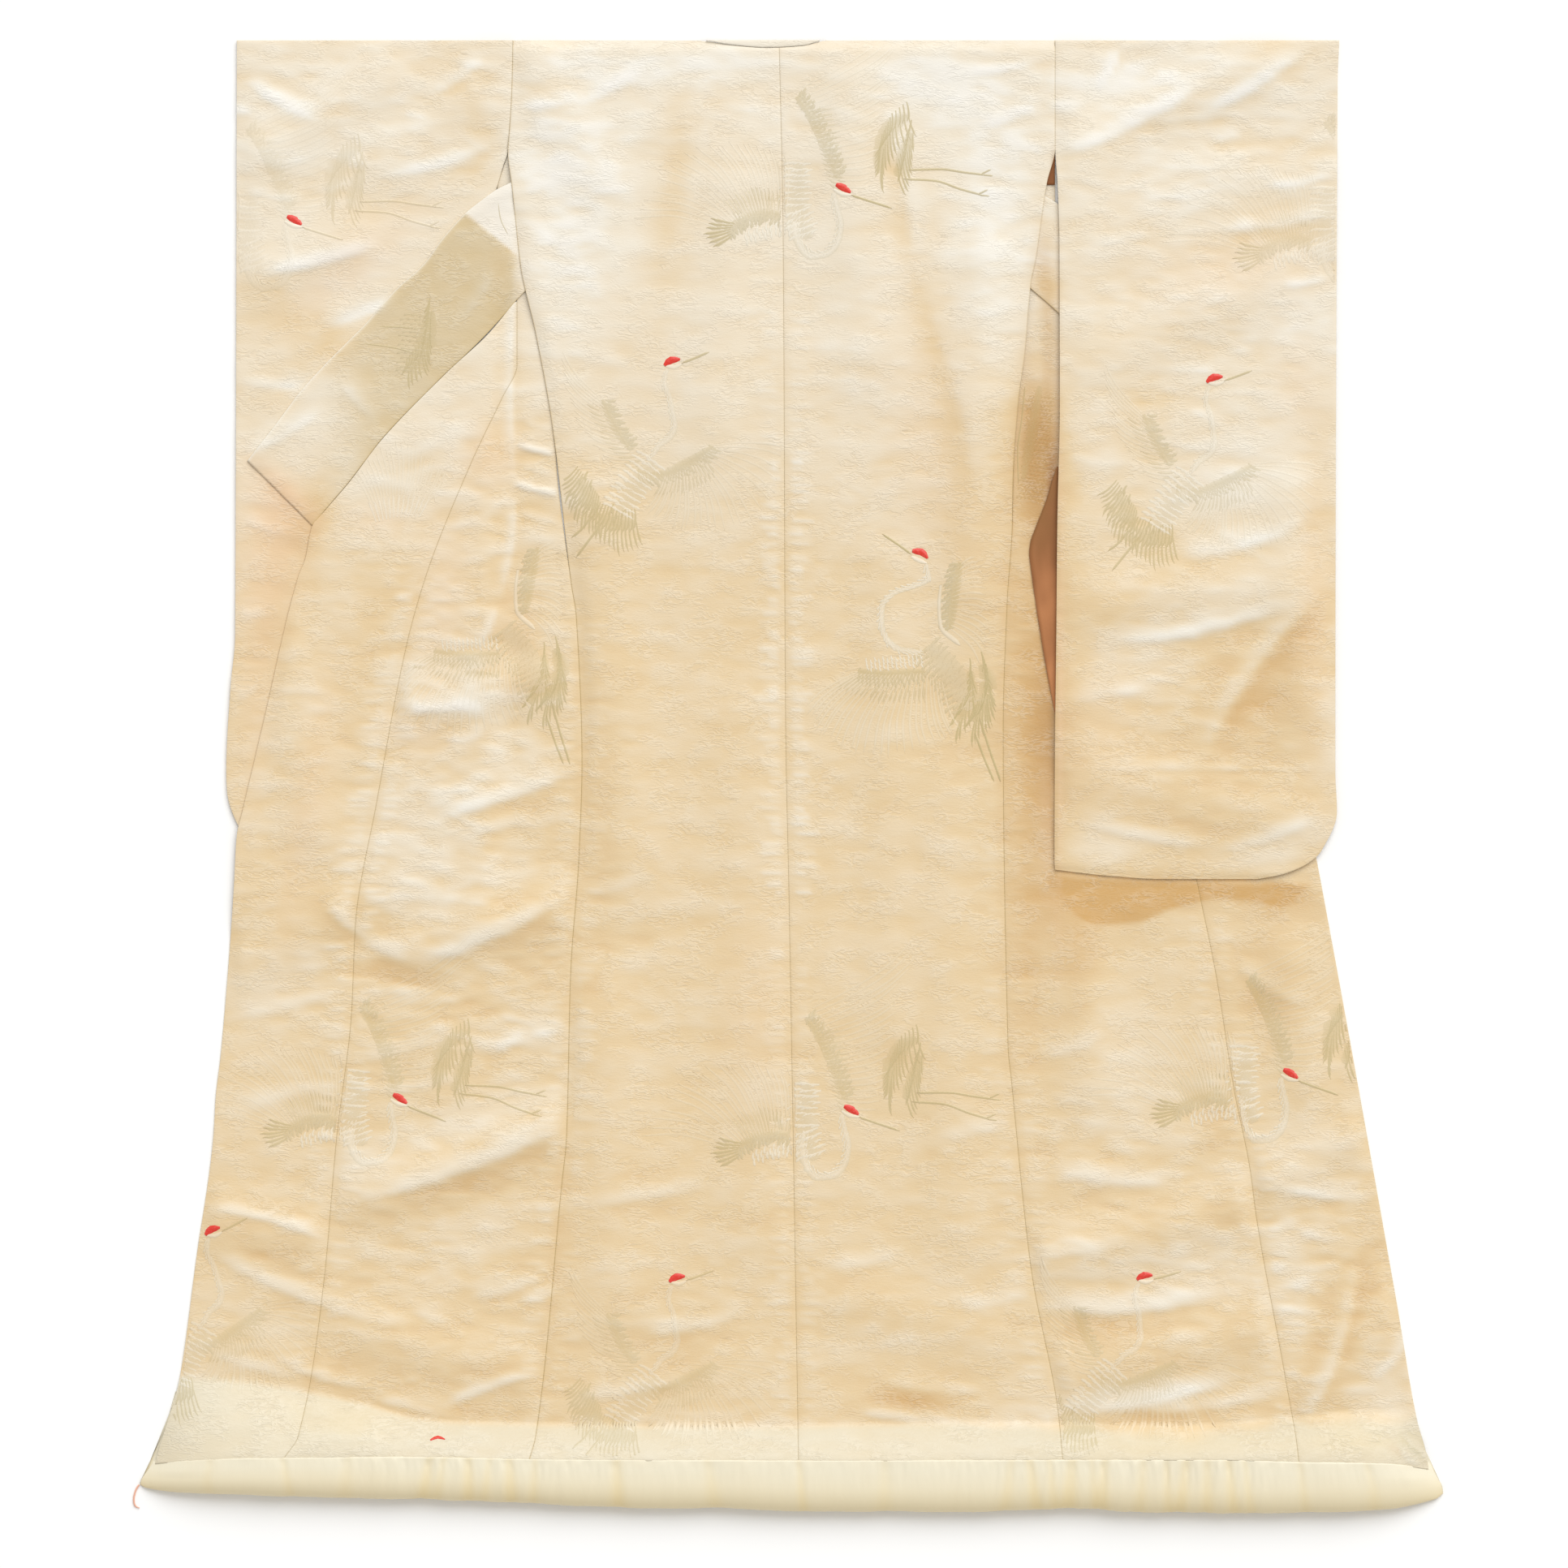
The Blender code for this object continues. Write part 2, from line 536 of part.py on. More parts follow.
def make_lining():
    """The lining that shows in the right side opening, and a thread end at the left corner."""
    sliver = [(186, 1290, 1299.5), (205, 1283, 1299.5), (228, 1279, 1299.5)]
    lining_piece("lining_opening_top", sliver, ON_FRONT, 1.6)
    tongue = [(640, 1288, 1304), (662, 1264, 1312), (700, 1268, 1316), (750, 1275, 1318),
              (800, 1281, 1318), (850, 1288, 1318), (900, 1298, 1318)]
    lining_piece("lining_opening", tongue, ON_FRONT, 1.6)
    thread = [(1829.5, 170, 172), (1834, 167.4, 169.6), (1840, 165, 167.4), (1847, 163.8, 166.2),
              (1852, 164, 166.6), (1856, 166, 169.5), (1858, 168, 174)]
    lining_piece("hem_thread", thread, 0.0, 2.0)


def lining_piece(name, rows, height, thickness):
    table = np.asarray(rows, float)
    share = np.linspace(0, 1, 3)[None, :]
    right = table[:, 1:2] + (table[:, 2:3] - table[:, 1:2]) * share
    down = np.repeat(table[:, :1], 3, axis=1)
    cloth_wall(name, right, down, np.full(right.shape, height), thickness, PINK_LINING)


def main():
    for thing in list(bpy.data.objects):
        bpy.data.objects.remove(thing)
    make_backs()
    make_fronts()
    make_okumi()
    make_sleeves()
    make_collar()
    make_hem_roll()
    make_lining()


main()
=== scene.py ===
import math

import bpy
import numpy as np
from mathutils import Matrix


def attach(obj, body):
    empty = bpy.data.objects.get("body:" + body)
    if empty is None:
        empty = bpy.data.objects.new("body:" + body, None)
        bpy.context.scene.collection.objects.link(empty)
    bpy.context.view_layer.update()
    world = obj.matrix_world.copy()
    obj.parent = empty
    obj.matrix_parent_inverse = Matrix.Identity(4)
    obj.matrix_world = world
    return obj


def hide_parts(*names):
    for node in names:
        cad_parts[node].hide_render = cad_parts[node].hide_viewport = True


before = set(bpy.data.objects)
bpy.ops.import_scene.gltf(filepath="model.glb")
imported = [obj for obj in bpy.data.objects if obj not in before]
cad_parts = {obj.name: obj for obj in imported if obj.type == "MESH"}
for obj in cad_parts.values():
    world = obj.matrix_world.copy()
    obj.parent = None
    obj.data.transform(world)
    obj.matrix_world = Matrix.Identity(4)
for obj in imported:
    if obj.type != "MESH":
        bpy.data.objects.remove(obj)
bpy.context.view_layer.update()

# Places are in millimetres on the laying-out sheet, to the right and down from its upper left
# corner, as in the pattern pieces. toWorld turns them into the frame's metres.
mm = 0.001
sheetMiddle = (970.5, 956.75)
shoulder = 50.0      # the shoulder fold's place down
creaseRow = 1750     # the row of points that lies on the hem's crease
evenAbove = 1100     # rows are even above this place, and eased to the crease below it

layers = {"bodyWall": 2.2, "sleeveWall": 2.0, "air": 0.5}
onSleeve = 2 * (layers["sleeveWall"] + layers["air"])
onFront = layers["bodyWall"] + layers["air"]
onCollar = 2 * (layers["bodyWall"] + layers["air"]) + 0.2
sleeveUpper = layers["sleeveWall"] + layers["air"]

roll = {"seamHeight": 30.0, "height": 34.0, "southDepth": 30.0, "risePower": 1.25, "reach": 165.0,
        "start": 172.5, "end": 1778.0}

# Edges that run down the garment. Columns: down, right.
armholeLeft = [(50, 632), (100, 631), (160, 628), (187, 626)]
armholeRight = [(50, 1300), (183, 1300)]
sideLeft = armholeLeft + [
    (230, 631), (330, 642), (410, 660), (520, 680), (720, 704), (760, 710), (940, 717),
    (1060, 713), (1200, 703), (1400, 698), (1460, 692), (1770, 660), (1800, 652), (1870, 640),
]
sideRight = armholeRight + [
    (225, 1290), (320, 1276), (350, 1270), (440, 1262), (490, 1255), (590, 1248), (650, 1247),
    (740, 1241), (900, 1236), (1290, 1242), (1330, 1246), (1560, 1270), (1750, 1305),
    (1790, 1308), (1870, 1320),
]
centreSeam = [(50, 960), (300, 965), (900, 968), (1100, 972), (1870, 985)]
okumiSeamLeft = [
    (372, 637), (450, 637), (490, 619), (570, 581), (710, 525), (800, 500), (985, 465),
    (1140, 438), (1250, 433), (1400, 415), (1580, 399), (1770, 368), (1800, 350), (1870, 345),
]
okumiEdgeLeft = [
    (372, 634), (412, 601.5), (458, 552), (545, 468), (595, 430), (630, 400), (648, 385),
    (690, 376), (710, 368), (890, 325), (1000, 299), (1030, 292), (1100, 288), (1300, 272),
    (1350, 266), (1400, 263), (1550, 242), (1700, 221), (1800, 192), (1830, 186),
]
okumiSeamRight = [
    (390, 1306), (440, 1330), (550, 1371), (1087, 1475), (1200, 1498), (1340, 1520),
    (1440, 1540), (1500, 1548), (1700, 1584), (1780, 1597), (1870, 1603),
]
okumiEdgeRight = [
    (390, 1312), (412, 1325), (430, 1345), (490, 1402), (600, 1506), (640, 1543), (750, 1562),
    (1058, 1622), (1600, 1720), (1750, 1746), (1790, 1757), (1830, 1762),
]
frontOuterLeft = armholeLeft + [(205, 620.6), (232, 612.8), (262, 613), (300, 624), (320, 634),
                                (372, 637)]
frontInnerLeft = [(50, 864), (120, 836), (200, 780), (300, 722), (400, 694), (480, 684),
                  (555, 685), (570, 687)]
frontOuterRight = armholeRight + [(232, 1300), (300, 1301), (390, 1306), (412, 1312)]
frontInnerRight = [(50, 1017), (120, 1050), (200, 1110), (300, 1180), (400, 1228), (480, 1250),
                   (560, 1249), (590, 1248)]
sleeveOuterLeft = [
    (50, 292), (780, 290), (850, 284), (950, 279), (975, 280), (1012, 291), (1048, 324),
    (1062, 350), (1070, 378), (1075, 410),
]
sleeveInnerLeft = armholeLeft + [(205, 620), (232, 612), (262, 600), (300, 577), (340, 566),
                                 (1000, 566), (1075, 570)]
sleeveInnerRight = armholeRight + [(230, 1303), (300, 1305), (500, 1305.5), (640, 1302.5), (800, 1301),
                                   (930, 1299.5), (1060, 1299), (1083, 1301)]
sleeveOuterRight = [
    (50, 1650), (100, 1648), (950, 1645), (1000, 1647), (1048, 1628), (1062, 1614),
    (1078, 1578), (1083, 1550),
]
# where the spread front begins to cover the left sleeve
sleeveCover = [(200, 640), (232, 612), (570, 305), (648, 385), (690, 376), (890, 325),
               (1000, 299), (1075, 289)]

# Lines across the garment. Columns: right, down.
sleeveFootRight = [(1299, 1071.5), (1371, 1079.5), (1430, 1083), (1650, 1083)]
neckLine = [(800, 50), (864, 50.6), (900, 56), (945, 59.5), (990, 57), (1016, 50.6), (1100, 50)]
creaseLine = [
    (170, 1690), (300, 1700), (440, 1726), (500, 1743), (560, 1751), (900, 1757), (1200, 1752),
    (1450, 1756), (1700, 1738), (1780, 1740),
]
hemSeam = [(170, 1806), (200, 1801), (300, 1795), (500, 1793), (700, 1796), (984, 1797),
           (1500, 1796), (1600, 1799), (1700, 1801), (1780, 1812)]
hemLow = [
    (172.5, 1829), (180, 1833), (225, 1838), (600, 1849), (800, 1857), (900, 1857.5),
    (984, 1861), (1200, 1861.5), (1330, 1858), (1400, 1862), (1500, 1863.5), (1680, 1861),
    (1768, 1847), (1778, 1840),
]
rollFullness = [(172.5, 0.10), (190, 0.36), (220, 0.66), (270, 0.90), (340, 1.0), (1620, 1.0),
                (1690, 0.90), (1735, 0.66), (1762, 0.36), (1778, 0.10)]
rollEndLeft = [(1680, 224), (1750, 207), (1785, 195), (1800, 190), (1810, 183), (1818, 177),
               (1824, 173.6), (1829, 172.5)]
rollEndRight = [(1690, 1735), (1750, 1746), (1790, 1757), (1800, 1761), (1810, 1765),
                (1820, 1771), (1832, 1777), (1840, 1778)]

# Collar sections. Columns: right and down of the free edge, right and down of the sewn edge.
collarLeft = [
    (858, 62, 905, 106), (800, 112, 852, 160), (740, 158, 792, 214), (690, 192, 742, 266),
    (650, 213, 700, 308), (628, 226, 664, 343), (612, 234, 637, 370), (594, 247, 619, 391),
    (575, 262, 600, 412), (545, 295, 576, 436), (522, 326, 552, 458), (490, 355, 526, 484),
    (450, 400, 500, 510), (425, 425, 468, 545), (403, 447, 449, 570), (372, 481, 430, 595),
    (338, 526, 407, 622), (305, 568, 385, 648),
]
collarRight = [
    (1022, 62, 978, 106), (1080, 104, 1030, 160), (1140, 146, 1090, 206), (1200, 188, 1150, 254),
    (1250, 220, 1205, 300), (1290, 243, 1258, 346), (1322, 264, 1308, 390),
    (1360, 296, 1345, 430), (1420, 350, 1402, 490), (1480, 412, 1460, 550),
    (1540, 474, 1508, 600), (1590, 520, 1545, 640),
]

# The largest folds. Columns: start right, start down, end right, end down, half width, height.
folds = {
    "back_left": [
        (668, 92, 730, 210, 34, 4.0), (905, 240, 880, 520, 40, 5.0), (735, 640, 770, 1040, 42, 5.5),
        (915, 900, 930, 1500, 45, 3.5), (740, 1250, 760, 1600, 44, 4.5),
    ],
    "back_right": [
        (1045, 120, 1070, 420, 42, 5.0), (1215, 330, 1195, 720, 36, 6.0),
        (1090, 700, 1095, 1250, 34, 3.5), (1160, 980, 1180, 1500, 46, 4.5),
        (1060, 1600, 1200, 1640, 38, 4.0),
    ],
    "front_left": [
        (505, 868, 640, 842, 34, 5.5), (520, 1168, 672, 1122, 34, 6.5),
        (470, 1470, 670, 1392, 36, 7.0), (470, 1650, 640, 1690, 36, 4.5),
    ],
    "okumi_left": [
        (345, 800, 390, 1010, 36, 4.0), (300, 1180, 415, 1140, 36, 5.0),
        (260, 1500, 380, 1525, 34, 5.0),
    ],
    "front_right": [
        (1330, 1170, 1345, 1330, 38, 5.0), (1310, 1548, 1520, 1486, 36, 6.5),
        (1330, 1690, 1540, 1640, 38, 6.0),
    ],
    "okumi_right": [
        (1590, 1180, 1610, 1330, 34, 4.5), (1580, 1450, 1670, 1400, 34, 5.5),
        (1640, 1700, 1710, 1600, 34, 5.0),
    ],
    "sleeve_left_back": [
        (330, 180, 470, 105, 36, 5.0), (345, 330, 420, 300, 34, 5.0), (480, 190, 560, 130, 34, 4.0),
    ],
    "sleeve_right_back": [
        (1350, 170, 1540, 84, 38, 5.5), (1380, 430, 1560, 350, 40, 4.5),
        (1380, 740, 1560, 720, 40, 6.0), (1590, 620, 1605, 860, 34, 5.0),
        (1360, 960, 1560, 1000, 40, 4.5),
    ],
    "collar_left": [(420, 560, 440, 500, 34, 2.0)],
}

# Creases that show from a step away, each a soft ridge that is steeper on its lower side.
# Columns: start right, start down, end right, end down, bow, half width, height.
creases = [
    (634, 547, 686, 560, 2, 5, 2.0), (632, 596, 690, 609, 2, 5, 2.2),
    (640, 573, 684, 584, 2, 6, 0.5), (645, 520, 680, 527, 2, 6, 0.6),
    (636, 630, 694, 643, 3, 7, 0.9), (636, 320, 634, 600, -6, 8, 0.9),
    (632, 600, 612, 745, 8, 8, 1.0), (612, 745, 588, 800, 3, 8, 1.1),
    (500, 880, 610, 884, -9, 13, 1.5), (548, 912, 600, 900, 4, 9, 1.0),
    (540, 1004, 700, 950, 6, 13, 1.8), (560, 1040, 660, 1010, -4, 9, 0.8),
    (400, 1106, 512, 1186, 10, 16, 1.9), (508, 1186, 694, 1104, 8, 17, 2.2),
    (392, 1196, 560, 1222, -6, 14, -1.5), (430, 1478, 700, 1382, 10, 16, 2.2),
    (436, 1306, 560, 1268, 6, 12, 0.9), (255, 1490, 402, 1527, -7, 9, 1.7),
    (246, 1532, 500, 1634, 12, 16, 1.7), (330, 1664, 470, 1712, 8, 13, 1.5),
    (540, 1737, 668, 1690, -4, 8, 1.6), (452, 1718, 560, 1742, 4, 12, 1.2),
    (580, 1600, 684, 1560, 6, 13, 1.0), (250, 1660, 380, 1696, 6, 11, 0.9),
    (300, 1360, 420, 1342, -5, 14, 0.9), (285, 1250, 430, 1215, 6, 14, 1.0),
    (470, 1345, 560, 1330, 3, 9, 0.7), (590, 1290, 700, 1262, 5, 12, 1.0),
    (1284, 1604, 1500, 1592, 15, 16, 2.1), (1310, 1736, 1520, 1694, 12, 14, 1.9),
    (1292, 1436, 1470, 1446, 14, 17, 1.8), (1270, 1545, 1390, 1530, 4, 11, 1.0),
    (1270, 1300, 1360, 1275, 5, 12, 0.9), (1400, 1740, 1592, 1708, 8, 12, 1.2),
    (1600, 1760, 1668, 1540, 16, 15, 1.7), (1568, 1462, 1702, 1472, 6, 11, 1.3),
    (1540, 1600, 1620, 1615, 5, 12, 0.9), (1520, 1180, 1620, 1240, 8, 14, 1.0),
    (1690, 1700, 1736, 1640, 6, 10, 1.1), (1722, 1772, 1752, 1806, 8, 5, 1.8),
    (1732, 1768, 1762, 1796, 8, 5, 1.4), (1306, 190, 1480, 100, 8, 15, 1.8),
    (1480, 140, 1610, 58, 6, 12, 1.6), (1350, 112, 1378, 62, 3, 8, 1.3),
    (1500, 282, 1642, 262, 5, 10, 1.4), (1580, 352, 1642, 340, 3, 8, 1.1),
    (1560, 232, 1642, 214, 4, 8, 0.9), (1340, 300, 1420, 286, 5, 10, 0.8),
    (1440, 686, 1610, 640, 10, 14, 1.4), (1380, 792, 1604, 738, 8, 14, 1.9),
    (1474, 938, 1636, 716, -14, 20, 2.2), (1308, 948, 1642, 950, -2, 5, 0.5),
    (1330, 1010, 1500, 1042, 6, 13, 1.3), (1500, 1046, 1630, 1000, 8, 12, 1.2),
    (1312, 860, 1420, 846, 4, 11, 1.0), (1310, 560, 1390, 572, 4, 10, 0.8),
    (302, 96, 400, 148, 7, 12, 1.5), (318, 336, 476, 296, 6, 12, 1.7),
    (400, 400, 488, 366, 5, 11, 1.4), (470, 216, 610, 176, 7, 13, 1.5),
    (520, 120, 600, 66, 5, 11, 1.3), (298, 232, 372, 246, 3, 9, 0.9),
    (296, 470, 380, 476, 3, 9, 0.8), (296, 760, 330, 752, 2, 7, 0.8),
    (290, 860, 318, 846, 2, 7, 0.7), (300, 640, 366, 660, 3, 9, 0.9),
    (800, 78, 700, 132, 5, 12, 1.2), (872, 96, 818, 340, 14, 17, 0.4),
    (1092, 140, 1132, 330, -8, 17, 1.1), (1132, 330, 1214, 650, -12, 20, 0.8),
    (1200, 160, 1290, 120, 5, 10, 1.0), (1180, 92, 1290, 72, 4, 9, 0.9),
    (640, 130, 720, 118, 4, 9, 0.9), (650, 300, 740, 292, 3, 9, 0.7),
    (690, 430, 780, 446, 4, 11, 0.8), (720, 1100, 790, 1082, 4, 10, 0.7),
    (708, 1480, 860, 1460, 6, 13, 0.9), (790, 1640, 930, 1608, 8, 13, 1.0),
    (700, 1720, 860, 1690, 7, 12, 1.2), (1050, 1737, 1204, 1750, 5, 9, 1.4),
    (1080, 1700, 1220, 1712, 6, 11, 1.1), (1010, 1560, 1120, 1540, 6, 13, 0.8),
    (1150, 1400, 1245, 1376, 6, 13, 0.9), (1170, 1610, 1270, 1590, 5, 12, 0.8),
    (300, 560, 400, 500, 5, 14, 0.9), (420, 470, 470, 520, 4, 11, 0.8),
    (560, 400, 610, 330, 5, 11, 0.8), (640, 1600, 690, 1590, 2, 8, 0.9),
]

# Places where the silk puckers most. Columns: right, down, half width, half height, more.
puckerSpots = [
    (470, 130, 190, 120, 0.7), (1470, 150, 190, 130, 0.6), (1480, 420, 170, 200, 0.6),
    (1480, 880, 170, 170, 0.5), (580, 620, 110, 130, 0.9), (560, 900, 150, 160, 0.9),
    (540, 1180, 170, 150, 0.7), (560, 1400, 150, 170, 0.6), (450, 1620, 220, 130, 0.45),
    (690, 250, 60, 200, 0.7), (1250, 250, 60, 180, 0.6), (1000, 110, 260, 60, 0.5),
    (1400, 1520, 160, 160, 0.8), (1640, 1560, 90, 220, 0.8), (900, 1770, 800, 34, 1.1),
    (860, 1640, 190, 70, 0.4), (330, 900, 50, 240, 0.4), (1100, 500, 130, 220, 0.3),
]

# Painted shade and painted light on the silk: tan where shade falls, the right sleeve's shadow and the dark
# gap beside it among them,
# paler where light falls. Columns: right, down, half width, half height, turn in degrees, change of shade
# (below 0 paler).
shadeAndLightSpots = [
    (820, 80, 110, 40, 0, -0.40), (700, 200, 80, 120, 0, -0.42), (700, 370, 60, 110, 0, -0.25),
    (930, 95, 90, 40, 0, -0.15), (830, 250, 26, 140, 6, 0.34), (1150, 110, 70, 60, 0, -0.45),
    (1225, 260, 50, 190, 0, -0.45), (1100, 190, 30, 60, -12, 0.30), (1142, 370, 26, 120, -14, 0.36),
    (1185, 560, 36, 120, -10, 0.30), (1195, 720, 40, 130, 0, 0.14), (1180, 890, 50, 70, 0, 0.20),
    (1050, 480, 60, 150, 0, -0.12), (960, 1000, 40, 260, 0, -0.10), (740, 760, 50, 200, 0, 0.10),
    (760, 620, 50, 60, 0, 0.14), (730, 1060, 26, 240, 0, 0.16), (1110, 1320, 34, 50, 0, 0.18),
    (1120, 1726, 60, 20, 0, 0.55), (840, 1690, 80, 22, -8, 0.20), (690, 1560, 22, 190, 4, 0.20),
    (1020, 1480, 50, 60, 0, -0.10), (930, 1320, 34, 60, 0, -0.12), (930, 1640, 150, 36, 0, -0.08),
    (1380, 110, 90, 46, -24, -0.42), (1500, 80, 50, 30, -30, -0.15), (1460, 250, 70, 60, 0, -0.20),
    (1590, 60, 50, 24, 0, 0.20), (1570, 290, 70, 22, -8, 0.38), (1600, 400, 50, 50, 0, -0.28),
    (1400, 290, 40, 60, 0, 0.16), (1410, 520, 40, 50, 0, 0.28), (1530, 600, 90, 90, 0, -0.42),
    (1400, 650, 60, 30, 20, 0.25), (1625, 620, 24, 90, 0, 0.30), (1500, 750, 130, 36, -12, -0.45),
    (1370, 750, 40, 22, -20, 0.16), (1610, 770, 30, 60, 30, 0.36), (1550, 860, 60, 90, 30, 0.50),
    (1400, 820, 70, 34, 0, -0.22), (1350, 1040, 60, 20, 0, -0.42), (1580, 1042, 60, 22, -20, -0.48),
    (1640, 900, 16, 110, 0, -0.25), (1480, 1020, 50, 30, 0, 0.20), (1350, 620, 34, 60, 0, -0.10),
    (340, 140, 50, 60, 0, -0.22), (470, 150, 60, 50, 0, -0.18), (560, 80, 40, 40, 0, 0.22),
    (590, 180, 24, 60, 0, 0.32), (370, 312, 60, 20, -8, -0.30), (340, 380, 60, 34, 20, 0.42),
    (400, 430, 40, 24, 0, 0.45), (450, 250, 50, 34, 0, 0.20), (430, 360, 40, 30, -20, -0.12),
    (400, 510, 70, 50, -40, -0.28), (345, 570, 40, 40, -40, -0.22), (500, 490, 40, 30, -40, -0.25),
    (560, 520, 40, 40, 0, -0.22), (610, 560, 34, 24, -20, 0.36), (470, 600, 70, 70, 0, -0.24),
    (630, 450, 20, 90, 0, 0.16), (380, 640, 26, 40, 30, 0.80), (335, 760, 30, 110, 12, 0.30),
    (360, 870, 36, 130, 12, -0.12), (450, 800, 24, 130, 12, 0.14), (540, 780, 34, 60, 0, -0.20),
    (585, 862, 50, 34, 10, -0.62), (640, 780, 26, 70, 0, 0.34), (660, 850, 40, 24, 0, 0.18),
    (620, 950, 80, 30, -22, -0.52), (505, 860, 30, 50, 0, -0.30), (520, 1060, 90, 110, 0, -0.42),
    (430, 1130, 70, 26, 36, 0.24), (500, 1206, 110, 24, 0, 0.20), (660, 1160, 50, 50, 0, 0.20),
    (360, 1210, 60, 50, 0, -0.22), (320, 1320, 60, 90, 0, -0.18), (655, 1272, 50, 34, 0, -0.36),
    (580, 1250, 50, 26, 0, 0.16), (590, 1385, 120, 26, -18, -0.42), (440, 1448, 34, 26, 0, -0.34),
    (560, 1468, 110, 24, -18, 0.20), (310, 1545, 80, 16, 14, 0.26), (420, 1610, 130, 18, 22, 0.16),
    (340, 1640, 60, 18, 22, -0.25), (590, 1530, 60, 34, -20, -0.24), (250, 1720, 60, 26, 8, -0.44),
    (430, 1700, 70, 18, 16, 0.25), (560, 1738, 90, 10, 0, 0.24), (1262, 1200, 22, 110, 0, 0.34),
    (1330, 1190, 30, 70, 0, 0.40), (1380, 1330, 70, 90, -10, -0.32), (1500, 1385, 34, 34, 0, 0.42),
    (1350, 1560, 60, 40, 0, -0.26), (1460, 1570, 70, 44, -16, -0.36), (1350, 1650, 70, 26, 8, 0.34),
    (1420, 1715, 90, 16, -6, -0.44), (1420, 1752, 80, 12, -6, 0.26), (1560, 1740, 40, 12, -20, 0.20),
    (1560, 1220, 40, 70, 0, 0.34), (1610, 1440, 50, 60, 0, -0.24), (1590, 1570, 30, 80, 0, -0.36),
    (1670, 1590, 26, 110, 24, 0.36), (1705, 1730, 36, 60, -10, -0.30), (1720, 1700, 24, 40, 0, -0.12),
    (1275, 560, 40, 90, 0, 0.90), (1275, 860, 44, 260, 0, 0.95), (1290, 370, 16, 40, 0, 0.50),
    (900, 1776, 760, 20, 0, -0.30), (1255, 1745, 50, 26, 0, -0.30), (1340, 1118, 60, 26, 12, 0.75),
    (1450, 1100, 70, 16, 0, 0.85), (1575, 1104, 46, 20, 0, 0.85), (1380, 1100, 60, 20, 0, 0.35),
]

# Colours of the silk, its seams, its figures and the lining, and also of painted shade (tan, gold, shade,
# pinkShade, umber, olive, satinLow), painted highlight (white, slope) and painted reflected light (blush,
# glow)
dyesAndShades = {
    "cream": (0.825, 0.780, 0.690), "tan": (0.736, 0.568, 0.342), "gold": (0.610, 0.372, 0.140),
    "seam": (0.500, 0.340, 0.090), "sage": (0.455, 0.375, 0.170), "silver": (0.560, 0.505, 0.360),
    "pale": (0.860, 0.820, 0.730), "crown": (0.700, 0.030, 0.016), "pink": (0.510, 0.205, 0.070),
    "pinkShade": (0.240, 0.078, 0.013), "satin": (0.790, 0.735, 0.580), "satinLow": (0.790, 0.640, 0.350),
    "thread": (0.800, 0.430, 0.310), "shade": (0.520, 0.300, 0.110), "blush": (0.790, 0.560, 0.360),
    "white": (0.850, 0.830, 0.790), "slope": (0.700, 0.655, 0.520), "olive": (0.480, 0.330, 0.085),
    "umber": (0.270, 0.115, 0.026), "glow": (0.920, 0.600, 0.270),
}


# cubic through a table's rows that keeps their rises and falls, with no overshoot
def along(table, at, column=1):
    rows = np.asarray(table, float)
    x, y = rows[:, 0], rows[:, column]
    steps = np.diff(x)
    slopes = np.diff(y) / steps
    tangents = np.empty_like(y)
    tangents[0], tangents[-1] = slopes[0], slopes[-1]
    product = slopes[:-1] * slopes[1:]
    mean = (slopes[:-1] + slopes[1:]) / 2
    harmonic = np.divide(product, mean, out=np.zeros_like(mean), where=np.abs(mean) > 1e-12)
    tangents[1:-1] = np.where(product > 0, harmonic, 0)
    at = np.clip(np.asarray(at, float), x[0], x[-1])
    k = np.clip(np.searchsorted(x, at, side="right") - 1, 0, len(steps) - 1)
    t = (at - x[k]) / steps[k]
    blend = t * t * (3 - 2 * t)
    lead = t * (1 - t) ** 2 * steps[k]
    trail = t * t * (t - 1) * steps[k]
    return y[k] * (1 - blend) + y[k + 1] * blend + tangents[k] * lead + tangents[k + 1] * trail


# 0 before start and 1 after end, smooth between; start may be the larger
def step(start, end, at):
    t = np.clip((np.asarray(at, float) - start) / (end - start), 0, 1)
    return t * t * (3 - 2 * t)


def toWorld(right, down, height):
    right, down, height = np.broadcast_arrays(right, down, height)
    return np.stack([(right - sheetMiddle[0]) * mm, (sheetMiddle[1] - down) * mm, height * mm], -1)


# the relief of creases and puckers, drawn once for the whole sheet in cells of 2 mm
chartStep = 2.0
chartStart = (150.0, 30.0)
chartShape = (930, 830)
chartDown, chartRight = np.meshgrid(
    chartStart[1] + chartStep * np.arange(chartShape[0]),
    chartStart[0] + chartStep * np.arange(chartShape[1]), indexing="ij")


# read a chart between its cells, as the mean of the four around a place weighted by nearness
def readChart(chart, right, down):
    x = np.clip((np.asarray(right, float) - chartStart[0]) / chartStep, 0, chartShape[1] - 1.001)
    y = np.clip((np.asarray(down, float) - chartStart[1]) / chartStep, 0, chartShape[0] - 1.001)
    i, j = y.astype(int), x.astype(int)
    v, u = y - i, x - j
    upper = chart[i, j] * (1 - u) + chart[i, j + 1] * u
    lower = chart[i + 1, j] * (1 - u) + chart[i + 1, j + 1] * u
    return upper * (1 - v) + lower * v


# chart smoothed by a bell of the given lengths across and down, a product with each of its waves
def smoothed(chart, across, down):
    fy = np.fft.fftfreq(chartShape[0], chartStep)[:, None]
    fx = np.fft.rfftfreq(chartShape[1], chartStep)[None, :]
    bell = np.exp(-2 * (math.pi ** 2) * ((fx * across) ** 2 + (fy * down) ** 2))
    return np.fft.irfft2(np.fft.rfft2(chart) * bell, s=chartShape)


# even noise whose grains have the given lengths across and down
def grain(seed, across, down):
    made = smoothed(np.random.default_rng(seed).standard_normal(chartShape), across, down)
    return made / made.std()


creaseLook = {"steepSide": 0.50, "gentleSide": 1.10, "rise": 1.25, "fadeIn": (-0.06, 0.30),
              "fadeOut": (0.70, 1.06)}


